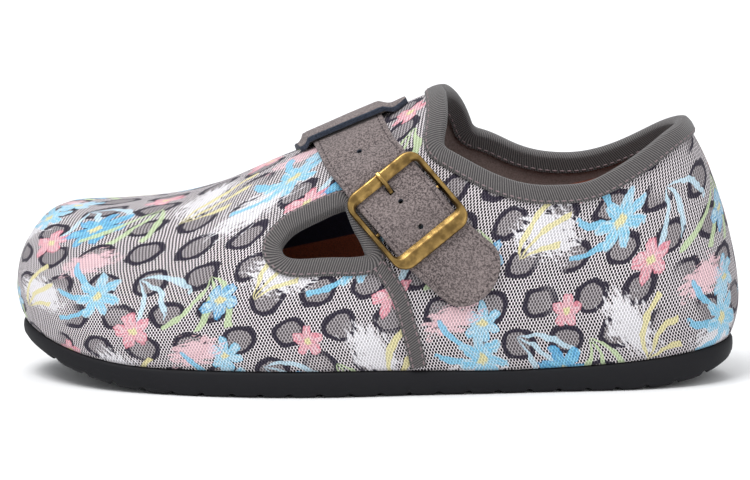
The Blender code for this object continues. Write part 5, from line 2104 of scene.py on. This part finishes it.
@dataclass
class Studio:
    """Pale floor, soft light and the camera at the photograph's angle."""

    distance: float = 2.2
    elevation: float = 9.0
    target_height: float = 0.05
    scale: float = 2800.0  # pixels for each metre at the target
    frame: tuple[int, int] = (750, 480)
    centre_column: float = 376.65
    ground_row: float = 375.0
    sensor: float = 36.0
    paper: tuple = (0.90, 0.90, 0.905, 1)

    def build_camera(self) -> None:
        """Sets the camera level with the shoe's side, looking down a little."""
        tilt = math.radians(self.elevation)
        data = bpy.data.cameras.new("photo_camera")
        camera = bpy.data.objects.new("photo_camera", data)
        bpy.context.scene.collection.objects.link(camera)
        away = Vector((0.0, -math.cos(tilt), math.sin(tilt)))
        camera.location = Vector((0.0, 0.0, self.target_height)) + away * self.distance
        camera.rotation_euler = (-away).to_track_quat("-Z", "Y").to_euler()
        wide, high = self.frame
        data.sensor_width = self.sensor
        data.lens = self.scale * self.distance / wide * self.sensor
        row = self.ground_row - self.target_height * self.scale * math.cos(tilt)
        data.shift_x = (wide / 2 - self.centre_column) / wide
        data.shift_y = (row - high / 2) / wide
        data.clip_end = 50.0
        bpy.context.scene.camera = camera

    def build_floor(self) -> None:
        """Lays the floor, a wide pale plane."""
        shape = Shape()
        line = np.linspace(-9.0, 9.0, 3)
        x, y = np.meshgrid(line, line)
        shape.add_grid(np.stack([x, y, 0 * x - 0.00002], -1))
        look = {"Base Color": self.paper, "Roughness": 0.9, "Specular IOR Level": 0.1}
        shape.build("floor", [set_shader(new_material("floor_paper"), look)])

    def build_lights(self) -> None:
        """Lights: a white surround, a large key above the toe side, and a soft front fill."""
        world = bpy.data.worlds.new("studio")
        bpy.context.scene.world = world
        world.use_nodes = True
        back = world.node_tree.nodes["Background"]
        back.inputs["Color"].default_value = (0.96, 0.98, 1.0, 1)
        back.inputs["Strength"].default_value = 0.72
        for name, place, size, power in (
            ("key", (-0.50, -0.60, 1.45), 0.9, 20.0),
            ("fill", (0.9, -1.3, 0.7), 1.2, 4.0),
            ("rim", (0.2, 1.1, 1.2), 1.0, 7.0),
        ):
            data = bpy.data.lights.new(name, "AREA")
            data.size = size
            data.energy = power
            light = bpy.data.objects.new(name, data)
            light.location = place
            light.rotation_euler = (-Vector(place)).to_track_quat("-Z", "Y").to_euler()
            bpy.context.scene.collection.objects.link(light)

    def build(self) -> None:
        """Builds the whole stage."""
        self.build_camera()
        self.build_floor()
        self.build_lights()
        bpy.context.scene.view_settings.view_transform = "Standard"


def main() -> None:
    """Builds the stage, the finishes and the shoe's pieces in order."""
    logging.basicConfig(level=logging.INFO, format="%(name)s: %(message)s")
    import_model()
    Studio().build()
    tape = RibbedTape().make()
    tape_thread = Thread("tape_thread", colour(134, 116, 119)).make()
    suede = Suede("strap_suede", colour(140, 128, 126), colour(54, 47, 48), 0.66).make()
    suede_thread = Thread("suede_thread", colour(62, 52, 53)).make()
    edge_paint = Suede("edge_paint", colour(62, 70, 84), colour(34, 38, 48)).make()
    bed_suede = Suede("footbed_suede", colour(128, 74, 56), colour(92, 52, 40), 0.8).make()
    Upper(PrintedCloth().make(), Lining().make()).build()
    bindings = Bindings(tape, tape_thread)
    bindings.build_edges()
    bindings.build_flat()
    strap = Strap(suede, suede_thread, edge_paint)
    seat = strap.seat()
    strap.build(seat)
    Keeper(suede, edge_paint).build()
    buckle = Buckle(seat, AgedBrass().make())
    buckle.build_frame()
    buckle.build_prong()
    sole = Sole(MouldedRubber().make(), bed_suede)
    sole.build_outsole()
    sole.build_footbed()


if __name__ == "__main__":
    main()
